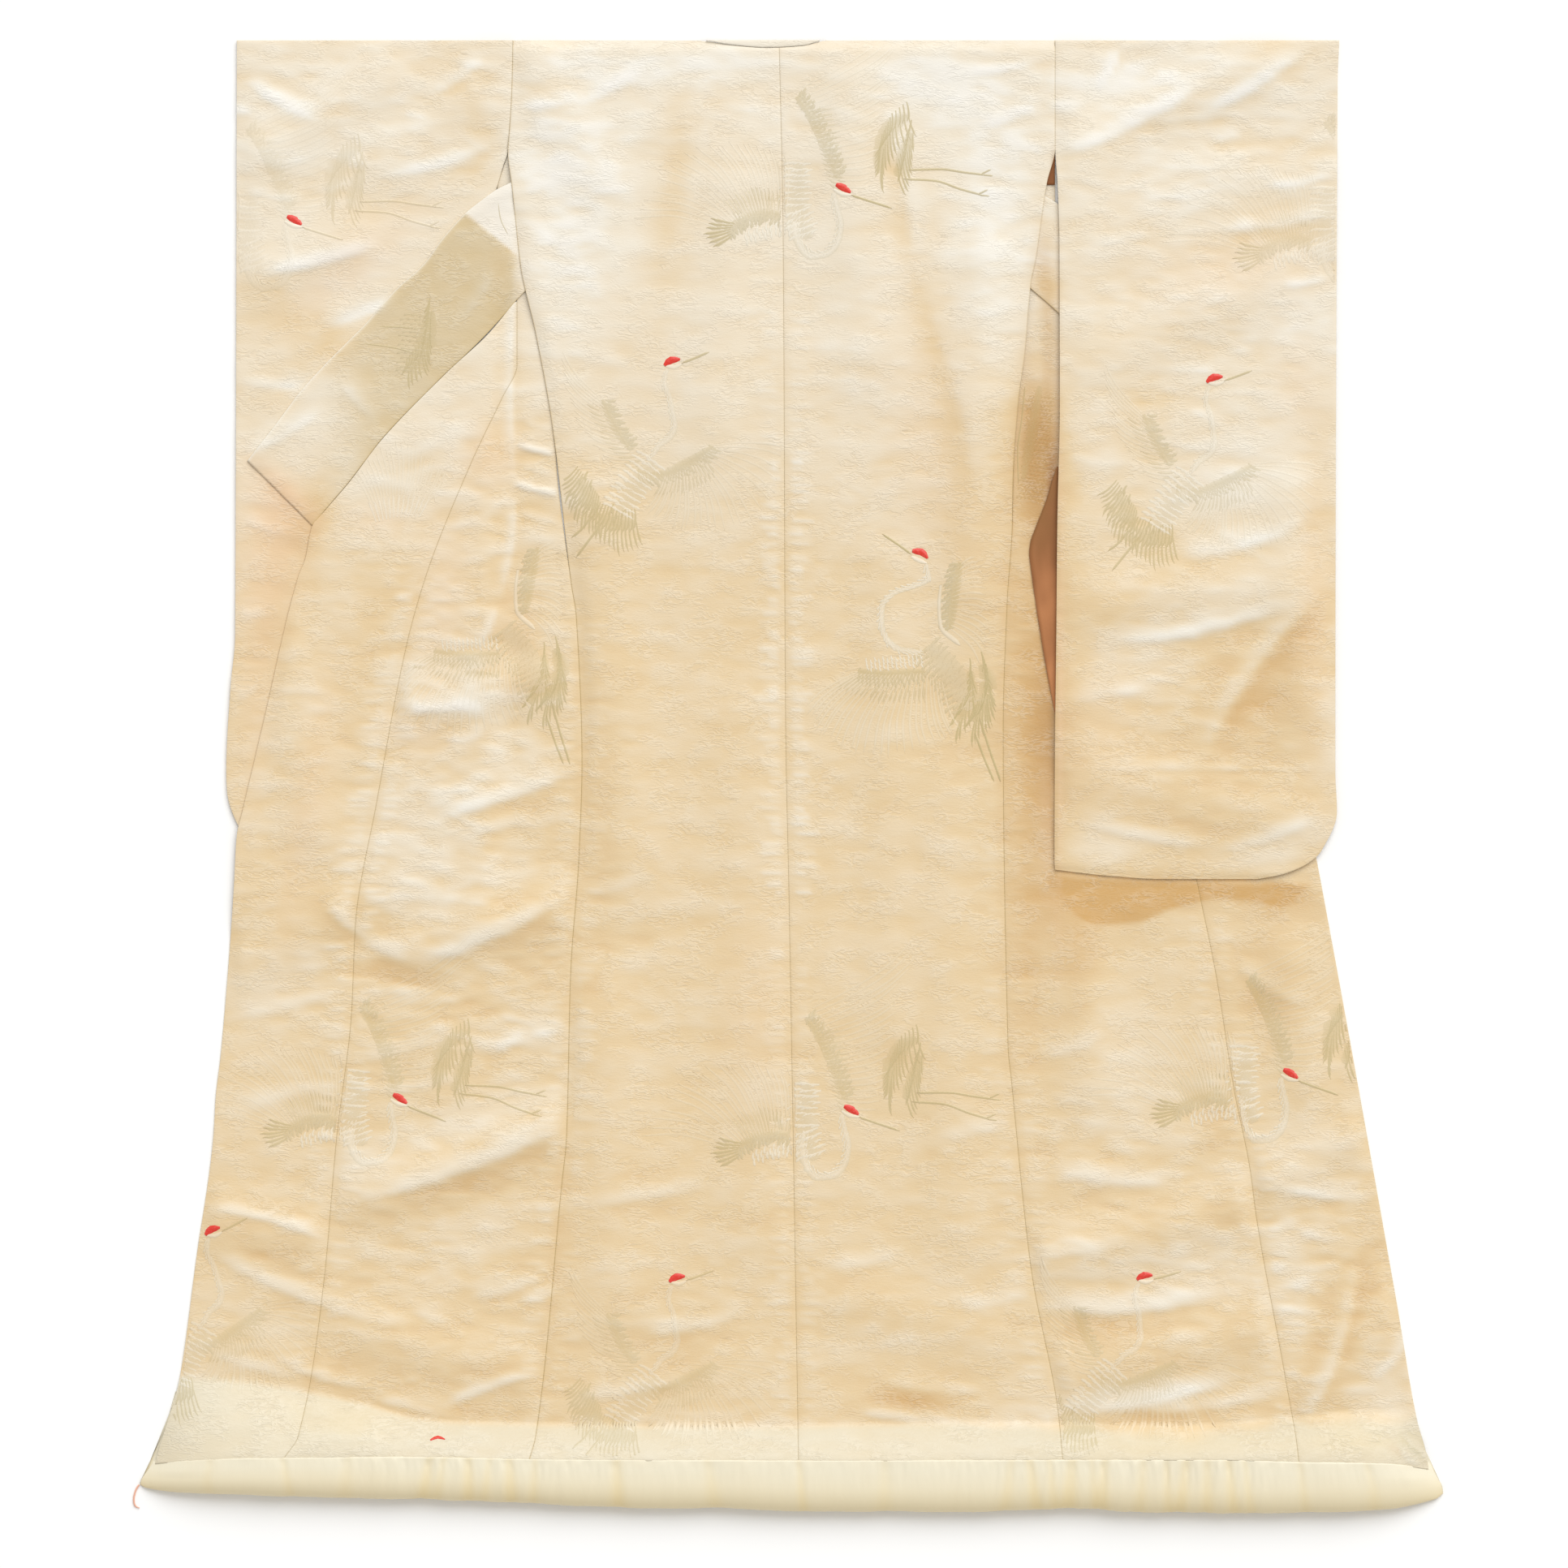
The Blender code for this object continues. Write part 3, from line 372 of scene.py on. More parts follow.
# add one crease: its distance across against a bowed line, steeper below, faded at both ends
def drawCrease(chart, x0, y0, x1, y1, bow, width, height):
    reach = 3 * width + abs(bow)
    j0 = max(0, int((min(x0, x1) - reach - chartStart[0]) / chartStep))
    j1 = min(chartShape[1], int((max(x0, x1) + reach - chartStart[0]) / chartStep) + 2)
    i0 = max(0, int((min(y0, y1) - reach - chartStart[1]) / chartStep))
    i1 = min(chartShape[0], int((max(y0, y1) + reach - chartStart[1]) / chartStep) + 2)
    right, down = chartRight[i0:i1, j0:j1], chartDown[i0:i1, j0:j1]
    dx, dy = x1 - x0, y1 - y0
    length = math.hypot(dx, dy)
    share = ((right - x0) * dx + (down - y0) * dy) / length ** 2
    across = ((down - y0) * dx - (right - x0) * dy) / length
    if dx < 0:
        across = -across
    across = across - bow * 4 * np.clip(share, 0, 1) * (1 - np.clip(share, 0, 1))
    side = np.where(across > 0, creaseLook["steepSide"] * width, creaseLook["gentleSide"] * width)
    fade = step(*creaseLook["fadeIn"], share) * (1 - step(*creaseLook["fadeOut"], share))
    chart[i0:i1, j0:j1] += creaseLook["rise"] * height * np.exp(-(across / side) ** 2) * fade


# Short level puckers on both sides of a seam. Columns: seam, first and last place down, height.
ladders = [
    (centreSeam, 380, 560, 0.5), (centreSeam, 560, 1100, 1.0), (centreSeam, 1160, 1740, 0.6),
    (okumiSeamLeft, 700, 1240, 0.7), (okumiSeamLeft, 1240, 1740, 0.5), (sideLeft, 760, 1700, 0.6),
    (sideRight, 1200, 1740, 0.5), (okumiSeamRight, 1120, 1740, 0.6), (sideRight, 640, 1150, 0.4),
]

reliefLook = {
    "puckers": 0.20, "puckerSeed": 11, "puckerGrain": (9.0, 3.4), "waves": 0.32, "waveSeed": 23,
    "waveGrain": (34.0, 12.0), "lowest": -1.1, "highest": 3.2, "least": 0.55,
    # short creases strewn over the cloth: how many, over which places, and the ranges of their sizes
    "short": 420, "shortSeed": 5, "right": (200, 1740), "down": (60, 1780), "length": (22, 70),
    "turn": 0.26, "size": (0.25, 0.62), "bow": (-4, 4), "width": (4.5, 8),
    # puckers of a seam: steps along it, distance from it, and the ranges of their sizes
    "rung": (6, 15), "off": (3, 7), "rungLength": (14, 36), "rungTilt": 2, "rungWidth": (2.8, 4.2),
    "rungHeight": (0.4, 1.2),
}


def makeRelief(look):
    chart = np.zeros(chartShape)
    for row in creases:
        drawCrease(chart, *row)
    more = np.full(chartShape, look["least"])
    for right, down, wide, high, extra in puckerSpots:
        more = more + extra * np.exp(-((chartRight - right) / wide) ** 2 - ((chartDown - down) / high) ** 2)
    dice = np.random.default_rng(look["shortSeed"])
    for _ in range(look["short"]):
        right, down = dice.uniform(*look["right"]), dice.uniform(*look["down"])
        i = int((down - chartStart[1]) / chartStep)
        j = int((right - chartStart[0]) / chartStep)
        length, turn = dice.uniform(*look["length"]), dice.normal(0, look["turn"])
        size = dice.uniform(*look["size"]) * (more[i, j] - 0.2)
        dx, dy = length * math.cos(turn) / 2, length * math.sin(turn) / 2
        bow, wide = dice.uniform(*look["bow"]), dice.uniform(*look["width"])
        if size > 0:
            drawCrease(chart, right - dx, down - dy, right + dx, down + dy, bow, wide, size)
    for seam, down, last, high in ladders:
        while down < last:
            down += dice.uniform(*look["rung"])
            for side in (-1, 1):
                right = float(along(seam, down)) + side * dice.uniform(*look["off"])
                far = right + side * dice.uniform(*look["rungLength"])
                drawCrease(chart, right, down, far, down + dice.normal(0, look["rungTilt"]), 0,
                           dice.uniform(*look["rungWidth"]), high * dice.uniform(*look["rungHeight"]))
    chart += look["puckers"] * grain(look["puckerSeed"], *look["puckerGrain"]) * more
    chart += look["waves"] * grain(look["waveSeed"], *look["waveGrain"]) * (0.4 + 0.6 * more)
    return np.clip(chart, look["lowest"], look["highest"])


relief = makeRelief(reliefLook)
print("relief drawn: creases", len(creases))


def mixColour(first, second, share):
    share = np.clip(share, 0, 1)[..., None]
    return np.asarray(first) * (1 - share) + np.asarray(second) * share


# Places of painted shade and painted reflected light, each in its own colour. Columns: right, down, half
# width, half height, turn in degrees, strength.
tintSpots = {
    # rosy tone, much of it painted shade and pink light reflected from the lining
    "blush": [
        (338, 690, 40, 90, 12, 0.48), (334, 636, 40, 34, 30, 0.30), (318, 860, 24, 130, 6, 0.22),
        (340, 610, 50, 22, 40, 0.30), (605, 560, 34, 40, 0, 0.34), (470, 640, 40, 20, 0, 0.22),
        (545, 740, 36, 110, 6, 0.22), (430, 330, 90, 30, -40, 0.28), (620, 330, 16, 40, 0, 0.20),
        (380, 990, 24, 160, 10, 0.20), (520, 900, 60, 30, 0, 0.14), (1150, 560, 50, 160, -8, 0.16),
        (1520, 330, 90, 40, -10, 0.20), (1620, 760, 20, 160, 0, 0.22), (640, 760, 30, 70, 0, 0.14),
        (930, 1250, 40, 120, 0, 0.14), (1350, 900, 60, 90, 0, 0.14), (1291, 1000, 9, 90, 0, 0.40),
        (1600, 470, 30, 60, 0, 0.14), (1303, 780, 5, 300, 0, 0.70), (350, 602, 46, 12, 45, 0.40),
    ],
    "shade": [
        (1282, 560, 17, 62, 0, 0.80), (1266, 520, 12, 90, 0, 0.35), (1292, 430, 9, 90, 0, 0.35),
        (1284, 330, 12, 40, 0, 0.30), (1296, 760, 12, 180, 0, 0.55), (1300, 980, 10, 120, 0, 0.30),
        (1288, 900, 16, 150, 0, 0.44), (1276, 900, 16, 60, 0, 0.22), (650, 845, 30, 14, -8, 0.22),
        (610, 795, 20, 30, 20, 0.12), (360, 655, 30, 12, 42, 0.18), (343, 612, 34, 6, 45, 0.22),
        (1280, 580, 17, 76, 0, 0.60), (1720, 1786, 12, 5, 30, 0.20), (1120, 1728, 40, 9, 4, 0.18),
    ],
    # painted shade on the hem's slope by the roll
    "satinLow": [
        (1440, 1778, 170, 20, 0, 0.24), (1670, 1768, 60, 22, 0, 0.26),
        (430, 1752, 60, 24, 10, 0.20),
    ],
    # painted shade along the right sleeve's left edge
    "olive": [
        (1304, 680, 2.4, 70, 0, 0.34), (1302, 840, 2.4, 110, 0, 0.34),
        (1301, 1010, 2.4, 80, 0, 0.30),
    ],
    # painted shade of the curled cloth at the right hem corner, in sage
    "sage": [
        (1741, 1785, 17, 2.6, 42, 0.42), (1727, 1777, 2.6, 9, 0, 0.32),
        (1740, 1768, 11, 2.4, 12, 0.30), (1752, 1778, 2.4, 7, -20, 0.26),
    ],
    "pinkShade": [
        (1297, 615, 7, 46, 0, 0.75), (1301, 700, 6, 120, 0, 0.55), (1298, 205, 3, 18, 0, 0.5),
    ],
}

# Lower edge of the shade that the right sleeve throws. Columns: right, down.
sleeveShade = [(1285, 1086), (1300, 1096), (1325, 1124), (1352, 1137), (1400, 1136), (1450, 1117),
               (1500, 1106), (1545, 1108), (1580, 1115), (1612, 1092), (1640, 1060)]


# bells of strength over the sheet, each turned, added up
def spotChart(rows):
    chart = np.zeros(chartShape)
    for right, down, wide, high, turn, strength in rows:
        a = math.radians(turn)
        x = (chartRight - right) * math.cos(a) + (chartDown - down) * math.sin(a)
        y = (chartDown - down) * math.cos(a) - (chartRight - right) * math.sin(a)
        chart = chart + strength * np.exp(-(x / wide) ** 2 - (y / high) ** 2)
    return chart


# painted shade and light on the silk, 0 pale cream, 1 tan, past 1 gold: darker down the garment, the spots,
# and a little random tone
shadeDown = [(0, 0.40), (300, 0.42), (520, 0.56), (760, 0.86), (1000, 0.92), (1900, 0.94)]
shadeAndToneChart = (along(shadeDown, chartDown) + spotChart(shadeAndLightSpots)
             + 0.035 * grain(41, 30, 22) + 0.02 * grain(42, 8, 8))
tintCharts = {dyeAndShade: np.clip(spotChart(rows), 0, 1) for dyeAndShade, rows in tintSpots.items()}
# painted highlight on the crests of the relief: the relief less its smoothed self
crestHighlightChart = np.clip(relief - smoothed(relief, 16.0, 16.0), -0.9, 1.3)
tintLook = {
    # painted highlight: crests paler by crest, and the palest silk turned white below whiteFrom, by white
    "crest": 0.42, "whiteFrom": 0.14, "white": 2.2,
    # the right sleeve's shade: its strength, and how much of it is spared close under the foot
    "shade": 0.85, "spared": 0.9, "footReach": 5, "glow": 0.85,
    # the hem's slope, painted paler as lit: its strength, and how much it dims in two stretches from the left
    # to the right
    "slope": 0.72, "dimLeft": 0.07, "dimRight": 0.06, "soft": 6, "softer": 14,
}


# how far a place lies in the shade that the right sleeve throws below its foot
def sleeveShadow(right, down, foot):
    end = along(sleeveShade, right)
    shaded = step(1286, 1300, right) * step(foot - 7, foot + 17, down) * (1 - step(end - 4, end + 5, down))
    spared = 1 - tintLook["spared"] * np.exp(-((down - foot) / tintLook["footReach"]) ** 2)
    return shaded * spared * (1 - step(1640, 1660, right))


# painted light on the hem's slope, which faces the light: a paler colour, dimmer to the right, and its share
# below a wavy crease
def hemSlope(right, down):
    wavy = (4 * np.sin(right / 37) + 3 * np.sin(right / 13 + 2)) * step(1150, 1300, right)
    crease = along(creaseLine, right) + wavy
    soft = tintLook["soft"] + tintLook["softer"] * step(1150, 1400, right)
    dim = 1 - tintLook["dimLeft"] * step(340, 420, right) - tintLook["dimRight"] * step(1150, 1300, right)
    share = tintLook["slope"] * step(crease - 2, crease + soft, down)
    return np.asarray(dyesAndShades["slope"]) * dim[..., None], share


# ground colour with painted shade and light: cream to tan over the first unit of shade, on to gold over the
# next, white where palest as a painted highlight, rosier in the blushes, paler on crests as a painted
# highlight, darker in the sleeve's painted shadow, and the tinted spots
def groundColourAndShade(right, down):
    foot = along(sleeveFootRight, right)
    shadeAndTone = readChart(shadeAndToneChart, right, down) - tintLook["crest"] * readChart(crestHighlightChart, right, down)
    shadeAndTone = shadeAndTone + tintLook["shade"] * sleeveShadow(right, down, foot)
    colour = mixColour(dyesAndShades["cream"], dyesAndShades["tan"], shadeAndTone)
    colour = mixColour(colour, dyesAndShades["gold"], shadeAndTone - 1)
    colour = mixColour(colour, dyesAndShades["white"], (tintLook["whiteFrom"] - shadeAndTone) * tintLook["white"])
    colour = mixColour(colour, *hemSlope(right, down))
    inSleeve = step(-1.5, 0.5, right - along(sleeveInnerRight, down)) * step(240, 250, down)
    offSleeve = 1 - inSleeve * (1 - step(foot - 7, foot - 1, down))
    for dyeAndShade, chart in tintCharts.items():
        strength = readChart(chart, right, down)
        if dyeAndShade in ("shade", "pinkShade"):
            strength = strength * offSleeve
        colour = mixColour(colour, dyesAndShades[dyeAndShade], strength)
    # painted reflected light: the ground is warmer close under the sleeve's lower edge, which throws its own
    # colour on it
    line = step(foot, foot + 1, down) * np.exp(-((down - foot) / tintLook["footReach"]) ** 2)
    line = line * (1 - step(1530, 1560, right)) * step(1296, 1304, right)
    return mixColour(colour, dyesAndShades["glow"], tintLook["glow"] * line)


# the soft bells of a panel's largest folds, with their feet cut off so that flat cloth is flat
def foldHeight(name, right, down):
    total = np.zeros(np.broadcast(right, down).shape)
    for x0, y0, x1, y1, width, height in folds.get(name, []):
        dx, dy = x1 - x0, y1 - y0
        length = math.hypot(dx, dy)
        s = ((right - x0) * dx + (down - y0) * dy) / length
        across = ((right - x0) * dy - (down - y0) * dx) / length
        past = np.maximum(np.abs(s - length / 2) - length / 2, 0)
        total = total + height * np.exp(-(across / width) ** 2 - (past / (1.4 * width)) ** 2)
    if name in panels:
        left, right = right - along(panels[name]["left"], down), along(panels[name]["right"], down) - right
        total = total * step(-2, 20, np.minimum(left, right))
    return np.maximum(total - 0.25, 0)


# where a section of the roll reaches: straight inwards, slanted along the okumi's edge at its ends
def slanted(station, down):
    start, end, reach = roll["start"], roll["end"], roll["reach"]
    left = (along(rollEndLeft, down) - start) * np.clip(1 - (station - start) / reach, 0, 1)
    right = (end - along(rollEndRight, down)) * np.clip(1 - (end - station) / reach, 0, 1)
    return station + left - right


def stationOf(right, down):
    start, end, reach = roll["start"], roll["end"], roll["reach"]
    slip = along(rollEndLeft, down) - start
    left = start + (right - start - slip) / (1 - slip / reach)
    slip = end - along(rollEndRight, down)
    far = end - (end - right - slip) / (1 - slip / reach)
    station = np.where(right < start + reach, left, right)
    return np.clip(np.where(right > end - reach, far, station), start, end)


# the cloth's rise on to the roll: nothing at the crease, full at the hem seam
def hemRise(right, down):
    crease, seam = along(creaseLine, right), along(hemSeam, right)
    share = np.clip((seam - down) / (seam - crease), 0, 1)
    rise = roll["seamHeight"] * (1 - share ** roll["risePower"])
    return rise * along(rollFullness, stationOf(right, down))


def backUnder(right, down):
    lift = onCollar * (1 - step(440, 760, down))
    overLeft = (1 - step(640, 690, right)) * step(190, 240, down) * (1 - step(400, 470, down))
    rounded = onFront - onCollar
    return (lift + 2.0 * overLeft + rounded * (1 - step(shoulder, shoulder + 14, down))
            + hemRise(right, down))


def frontLeftUnder(right, down):
    over = (1 - step(590, 637, right)) * (1 - step(1095, 1175, down)) * step(300, 330, down)
    return onSleeve * over + hemRise(right, down)


def frontRightUnder(right, down):
    return hemRise(right, down)


def collarLeftUnder(right, down):
    return onFront + (onSleeve - onFront) * (1 - step(622, 652, right))


def collarRightUnder(right, down):
    return onFront * (1 - step(1300, 1345, right))


def sleeveLeftUpperUnder(right, down):
    atArmhole = step(540, 626, right) * (1 - step(130, 200, down))
    return sleeveUpper + (onCollar - sleeveUpper) * atArmhole


def sleeveRightLowerUnder(right, down):
    inner = onCollar - onFront
    return step(150, 226, down) * (onFront + 0.2 + inner * (1 - step(1330, 1420, right)))


def sleeveRightUpperUnder(right, down):
    atArmhole = (1 - step(1301, 1390, right)) * (1 - step(130, 200, down))
    return sleeveRightLowerUnder(right, down) + sleeveUpper + (onCollar - sleeveUpper) * atArmhole


def flatUnder(right, down):
    return 0.0 * right


# how much relief a panel may have: none where another layer lies on it
def openCloth(right, down):
    return np.ones(np.broadcast(right, down).shape)


def openFrontLeft(right, down):
    underBack = step(-6, 3, right - along(sideLeft, down)) * (1 - step(560, 600, down))
    return (1 - underBack) * step(240, 300, down)


def openFrontRight(right, down):
    underBack = 1 - step(-3, 6, right - along(sideRight, down))
    underSleeve = step(1290, 1300, right) * (1 - step(1080, 1092, down))
    return (1 - underBack * (1 - step(580, 620, down))) * (1 - underSleeve)


def openOkumiRight(right, down):
    return step(1080, 1092, down)


def openSleeveLeft(right, down):
    return 1 - step(-16, -4, right - along(sleeveCover, down)) * step(200, 230, down)


def closedCloth(right, down):
    return np.zeros(np.broadcast(right, down).shape)


def joined(upper, lower, switch):
    return [r for r in upper if r[0] < switch] + [r for r in lower if r[0] >= switch]


# A row for each panel: left and right edges, first and last place down, underside, wall, which
# part of it may crease, whether it ends at the hem, and the size of its cells across and down.
panels = {
    "back_left": dict(left=sideLeft, right=centreSeam, top=50, under=backUnder, wall=2.2,
                      free=openCloth, hem=True, neck=True, cell=(8, 4), stain=(0.50, 0.20)),
    "back_right": dict(left=centreSeam, right=sideRight, top=50, under=backUnder, wall=2.2,
                       free=openCloth, hem=True, neck=True, cell=(8, 4), stain=(0.20, 0.32)),
    "front_left": dict(left=joined(frontOuterLeft, okumiSeamLeft, 372),
                       right=joined(frontInnerLeft, sideLeft, 570), top=50, under=frontLeftUnder,
                       wall=2.2, free=openFrontLeft, hem=True, cell=(7, 3.2), stain=(0.26, 0.30)),
    "front_right": dict(left=joined(frontInnerRight, sideRight, 590),
                        right=joined(frontOuterRight, okumiSeamRight, 390), top=50,
                        under=frontRightUnder, wall=2.2, free=openFrontRight, hem=True,
                        cell=(7, 3.4), stain=(0.30, 0.26)),
    "okumi_left": dict(left=okumiEdgeLeft, right=okumiSeamLeft, top=372, under=frontLeftUnder,
                       wall=2.2, free=openCloth, hem=True, cell=(6, 3.4), stain=(0.0, 0.26)),
    "okumi_right": dict(left=okumiSeamRight, right=okumiEdgeRight, top=412, under=frontRightUnder,
                        wall=2.2, free=openOkumiRight, hem=True, cell=(6, 3.4), stain=(0.26, 0.0)),
    "sleeve_left_front": dict(left=sleeveOuterLeft, right=sleeveInnerLeft, top=50, bottom=1075,
                              under=flatUnder, wall=2.0, free=closedCloth, cell=(16, 12),
                              stain=(0.0, 0.0)),
    "sleeve_left_back": dict(left=sleeveOuterLeft, right=sleeveInnerLeft, top=50, bottom=1075,
                             under=sleeveLeftUpperUnder, wall=2.0, free=openSleeveLeft,
                             cell=(7, 3.4), stain=(0.0, 0.16)),
    "sleeve_right_front": dict(left=sleeveInnerRight, right=sleeveOuterRight, top=50, bottom=1083,
                               foot=sleeveFootRight, under=sleeveRightLowerUnder, wall=2.0,
                               free=closedCloth, cell=(16, 12), stain=(0.0, 0.0)),
    "sleeve_right_back": dict(left=sleeveInnerRight, right=sleeveOuterRight, top=50, bottom=1083,
                              foot=sleeveFootRight, under=sleeveRightUpperUnder, wall=2.0,
                              free=openCloth, cell=(7, 3.2), stain=(0.0, 0.0)),
}
seamLook = {
    "gap": 0.14, "tuck": 1.4, "near": (0.0, 0.3, 1.3, 3.2, 6.0), "neckReach": 42, "footReach": 120,
    "drop": 0.38, "reach": 1.2, "pressed": 0.22, "pressedReach": 4.5, "turned": 1.3, "turnedReach": 4.5,
    "stainReach": 0.75, "settle": 9.0, "least": 0.55,
    # where the right sleeve's foot sinks, right and down, and where the back's left edge does
    "sinkRight": (1330, 1420), "sinkDown": (890, 980), "collarEnd": (372, 420), "backDown": (240, 275),
}
# Rows of points on the hem's slope, from its crease to the hem seam, closer at the seam
slopeRows = np.concatenate([np.linspace(creaseRow, 1789, 12)[1:], [1791.5, 1793.2, 1794.2, 1795]])


# the back's left edge lies down on the collar and the spread front: its underside sinks near it;
# the right sleeve's foot sinks where no collar is left under it
def edgeSettle(name, right, down):
    if name in ("sleeve_right_front", "sleeve_right_back"):
        sunk = (1 - step(*seamLook["sinkRight"], right)) * step(*seamLook["sinkDown"], down)
        return (onCollar - onFront) * sunk
    if name != "back_left":
        return 0 * right
    rest = onFront + 0.2 + (layers["bodyWall"] + 0.2) * (1 - step(*seamLook["collarEnd"], down))
    spare = np.maximum(backUnder(right, down) - hemRise(right, down) - rest, 0)
    away = right - along(sideLeft, down)
    return spare * np.exp(-(away / seamLook["settle"]) ** 2) * step(*seamLook["backDown"], down)


# rows even down to evenAbove, eased from there so that one row lies on the crease, then to the hem
def rowPlaces(spec):
    high = spec["cell"][1]
    near = np.array(seamLook["near"])
    start, inset = spec["top"], near[-1]
    first = start + near[:-1]
    if not spec.get("hem"):
        count = int((spec["bottom"] - start - 2 * inset) / high)
        inner = np.linspace(start + inset, spec["bottom"] - inset, count)
        return np.concatenate([first, inner, spec["bottom"] - near[-2::-1]])
    count = int((creaseRow - start - inset) / high)
    return np.concatenate([first, np.linspace(start + inset, creaseRow, count), slopeRows])


# places right and down of a panel's points: extra ones close to both edges, even ones between
def panelGrid(spec):
    rows = rowPlaces(spec)[:, None]
    near = np.array(seamLook["near"])
    widest = float(np.max(along(spec["right"], rows) - along(spec["left"], rows)))
    inner = np.linspace(0, 1, max(3, int(widest / spec["cell"][0])))[1:-1]
    down = rows * np.ones((1, len(inner) + 2 * len(near)))
    # an edge's place across depends on the place down and the other way round, so both settle in turns
    for _ in range(3):
        left = along(spec["left"], down) + seamLook["gap"] / 2
        right = along(spec["right"], down) - seamLook["gap"] / 2
        squeeze = np.minimum(1, (right - left) / 40)
        first = left[:, :len(near)] + near * squeeze[:, :len(near)]
        last = right[:, -len(near):] - near[::-1] * squeeze[:, -len(near):]
        span = last[:, :1] - first[:, -1:]
        across = np.concatenate([first, first[:, -1:] + span * inner, last], axis=1)
        if spec.get("hem"):
            crease, seam = along(creaseLine, across), along(hemSeam, across)
            eased = evenAbove + (rows - evenAbove) * (crease - evenAbove) / (creaseRow - evenAbove)
            share = (rows - creaseRow) / (rows[-1] - creaseRow)
            down = np.where(rows <= evenAbove, rows, eased)
            down = np.where(rows <= creaseRow, down, crease + (seam + seamLook["tuck"] - crease) * share)
        if spec.get("foot"):
            lift = spec["bottom"] - along(spec["foot"], across)
            down = rows - lift * step(spec["bottom"] - seamLook["footReach"], spec["bottom"], rows)
        if spec.get("neck"):
            drop = along(neckLine, across) - shoulder
            down = down + drop * np.clip(1 - (rows - shoulder) / seamLook["neckReach"], 0, 1)
    return across, down, np.minimum(across - left, right - across)


# height of a panel's upper face away from its edges
def panelTop(name, right, down):
    spec = panels[name]
    return (spec["under"](right, down) + foldHeight(name, right, down) + spec["wall"]
            + readChart(relief, right, down) * spec["free"](right, down)
            - edgeSettle(name, right, down))


def placed(name, data):
    made = bpy.data.objects.new(name, data)
    bpy.context.scene.collection.objects.link(made)
    return made


def newMesh(name, points, quads):
    mesh = bpy.data.meshes.new(name)
    points = np.ascontiguousarray(points, np.float32)
    quads = np.ascontiguousarray(quads, np.int32)
    mesh.vertices.add(len(points))
    mesh.vertices.foreach_set("co", points.ravel())
    mesh.loops.add(quads.size)
    mesh.loops.foreach_set("vertex_index", quads.ravel())
    mesh.polygons.add(len(quads))
    mesh.polygons.foreach_set("loop_start", np.arange(0, quads.size, 4, dtype=np.int32))
    mesh.polygons.foreach_set("use_smooth", np.ones(len(quads), bool))
    mesh.update(calc_edges=True)
    mesh.validate()
    return placed(name, mesh)


def paint(piece, colours):
    layer = piece.data.color_attributes.new("dyeAndShade", "FLOAT_COLOR", "POINT")
    full = np.ones((len(piece.data.vertices), 4), np.float32)
    full[:, :3] = colours.reshape(-1, 3)
    layer.data.foreach_set("color", full.ravel())


# quads between the neighbours in a grid of point numbers
def gridQuads(index):
    corners = [index[:-1, :-1], index[1:, :-1], index[1:, 1:], index[:-1, 1:]]
    return np.stack(corners, -1).reshape(-1, 4)


# closed wall over a grid: upper sheet, lower sheet turned over, and a rim of quads between them
def wallFaces(rows, columns):
    index = np.arange(rows * columns).reshape(rows, columns)
    lower = rows * columns
    top = gridQuads(index)
    rim = np.concatenate([index[0], index[1:, -1], index[-1, -2::-1], index[-2:0:-1, 0]])
    after = np.roll(rim, -1)
    side = np.stack([rim, after, lower + after, lower + rim], -1)
    return np.concatenate([top, lower + top[:, ::-1], side])


# a closed wall over one grid of places, with its two heights and the same colours, painted shade and light
# included, on both faces
def wallPiece(name, right, down, top, under, colours):
    points = np.concatenate([toWorld(right, down, height).reshape(-1, 3) for height in (top, under)])
    piece = newMesh("cloth_" + name, points, wallFaces(*right.shape))
    paint(piece, np.concatenate([colours.reshape(-1, 3)] * 2))
    return piece


# distance run at each point of a route, from its first
def runOf(route):
    return np.concatenate([[0], np.cumsum(np.linalg.norm(np.diff(route, axis=0), axis=1))])


def finishPiece(piece, material, slot, *nodes):
    piece.data.materials.append(material)
    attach(piece, "root")
    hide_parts(*nodes)
    return piece


# Shader maths: a socket that takes part in plain expressions, each adding a Math node
class Wire:
    def __init__(self, maker, socket):
        self.maker, self.socket = maker, socket

    def maths(self, operation, *values):
        return self.maker.node("ShaderNodeMath", {"operation": operation}, dict(enumerate(values)))

    def __add__(self, other):
        return self.maths("ADD", self, other)

    def __radd__(self, other):
        return self.maths("ADD", other, self)

    def __sub__(self, other):
        return self.maths("SUBTRACT", self, other)

    def __rsub__(self, other):
        return self.maths("SUBTRACT", other, self)

    def __mul__(self, other):
        return self.maths("MULTIPLY", self, other)

    def __rmul__(self, other):
        return self.maths("MULTIPLY", other, self)

    def __truediv__(self, other):
        return self.maths("DIVIDE", self, other)

    def __rtruediv__(self, other):
        return self.maths("DIVIDE", other, self)

    def __pow__(self, other):
        return self.maths("POWER", self, other)

    def __abs__(self):
        return self.maths("ABSOLUTE", self)

    def clamped(self, low, high):
        settings = {"interpolation_type": "SMOOTHSTEP"}
        sockets = {"Value": self, "From Min": low, "From Max": high}
        return self.maker.node("ShaderNodeMapRange", settings, sockets)


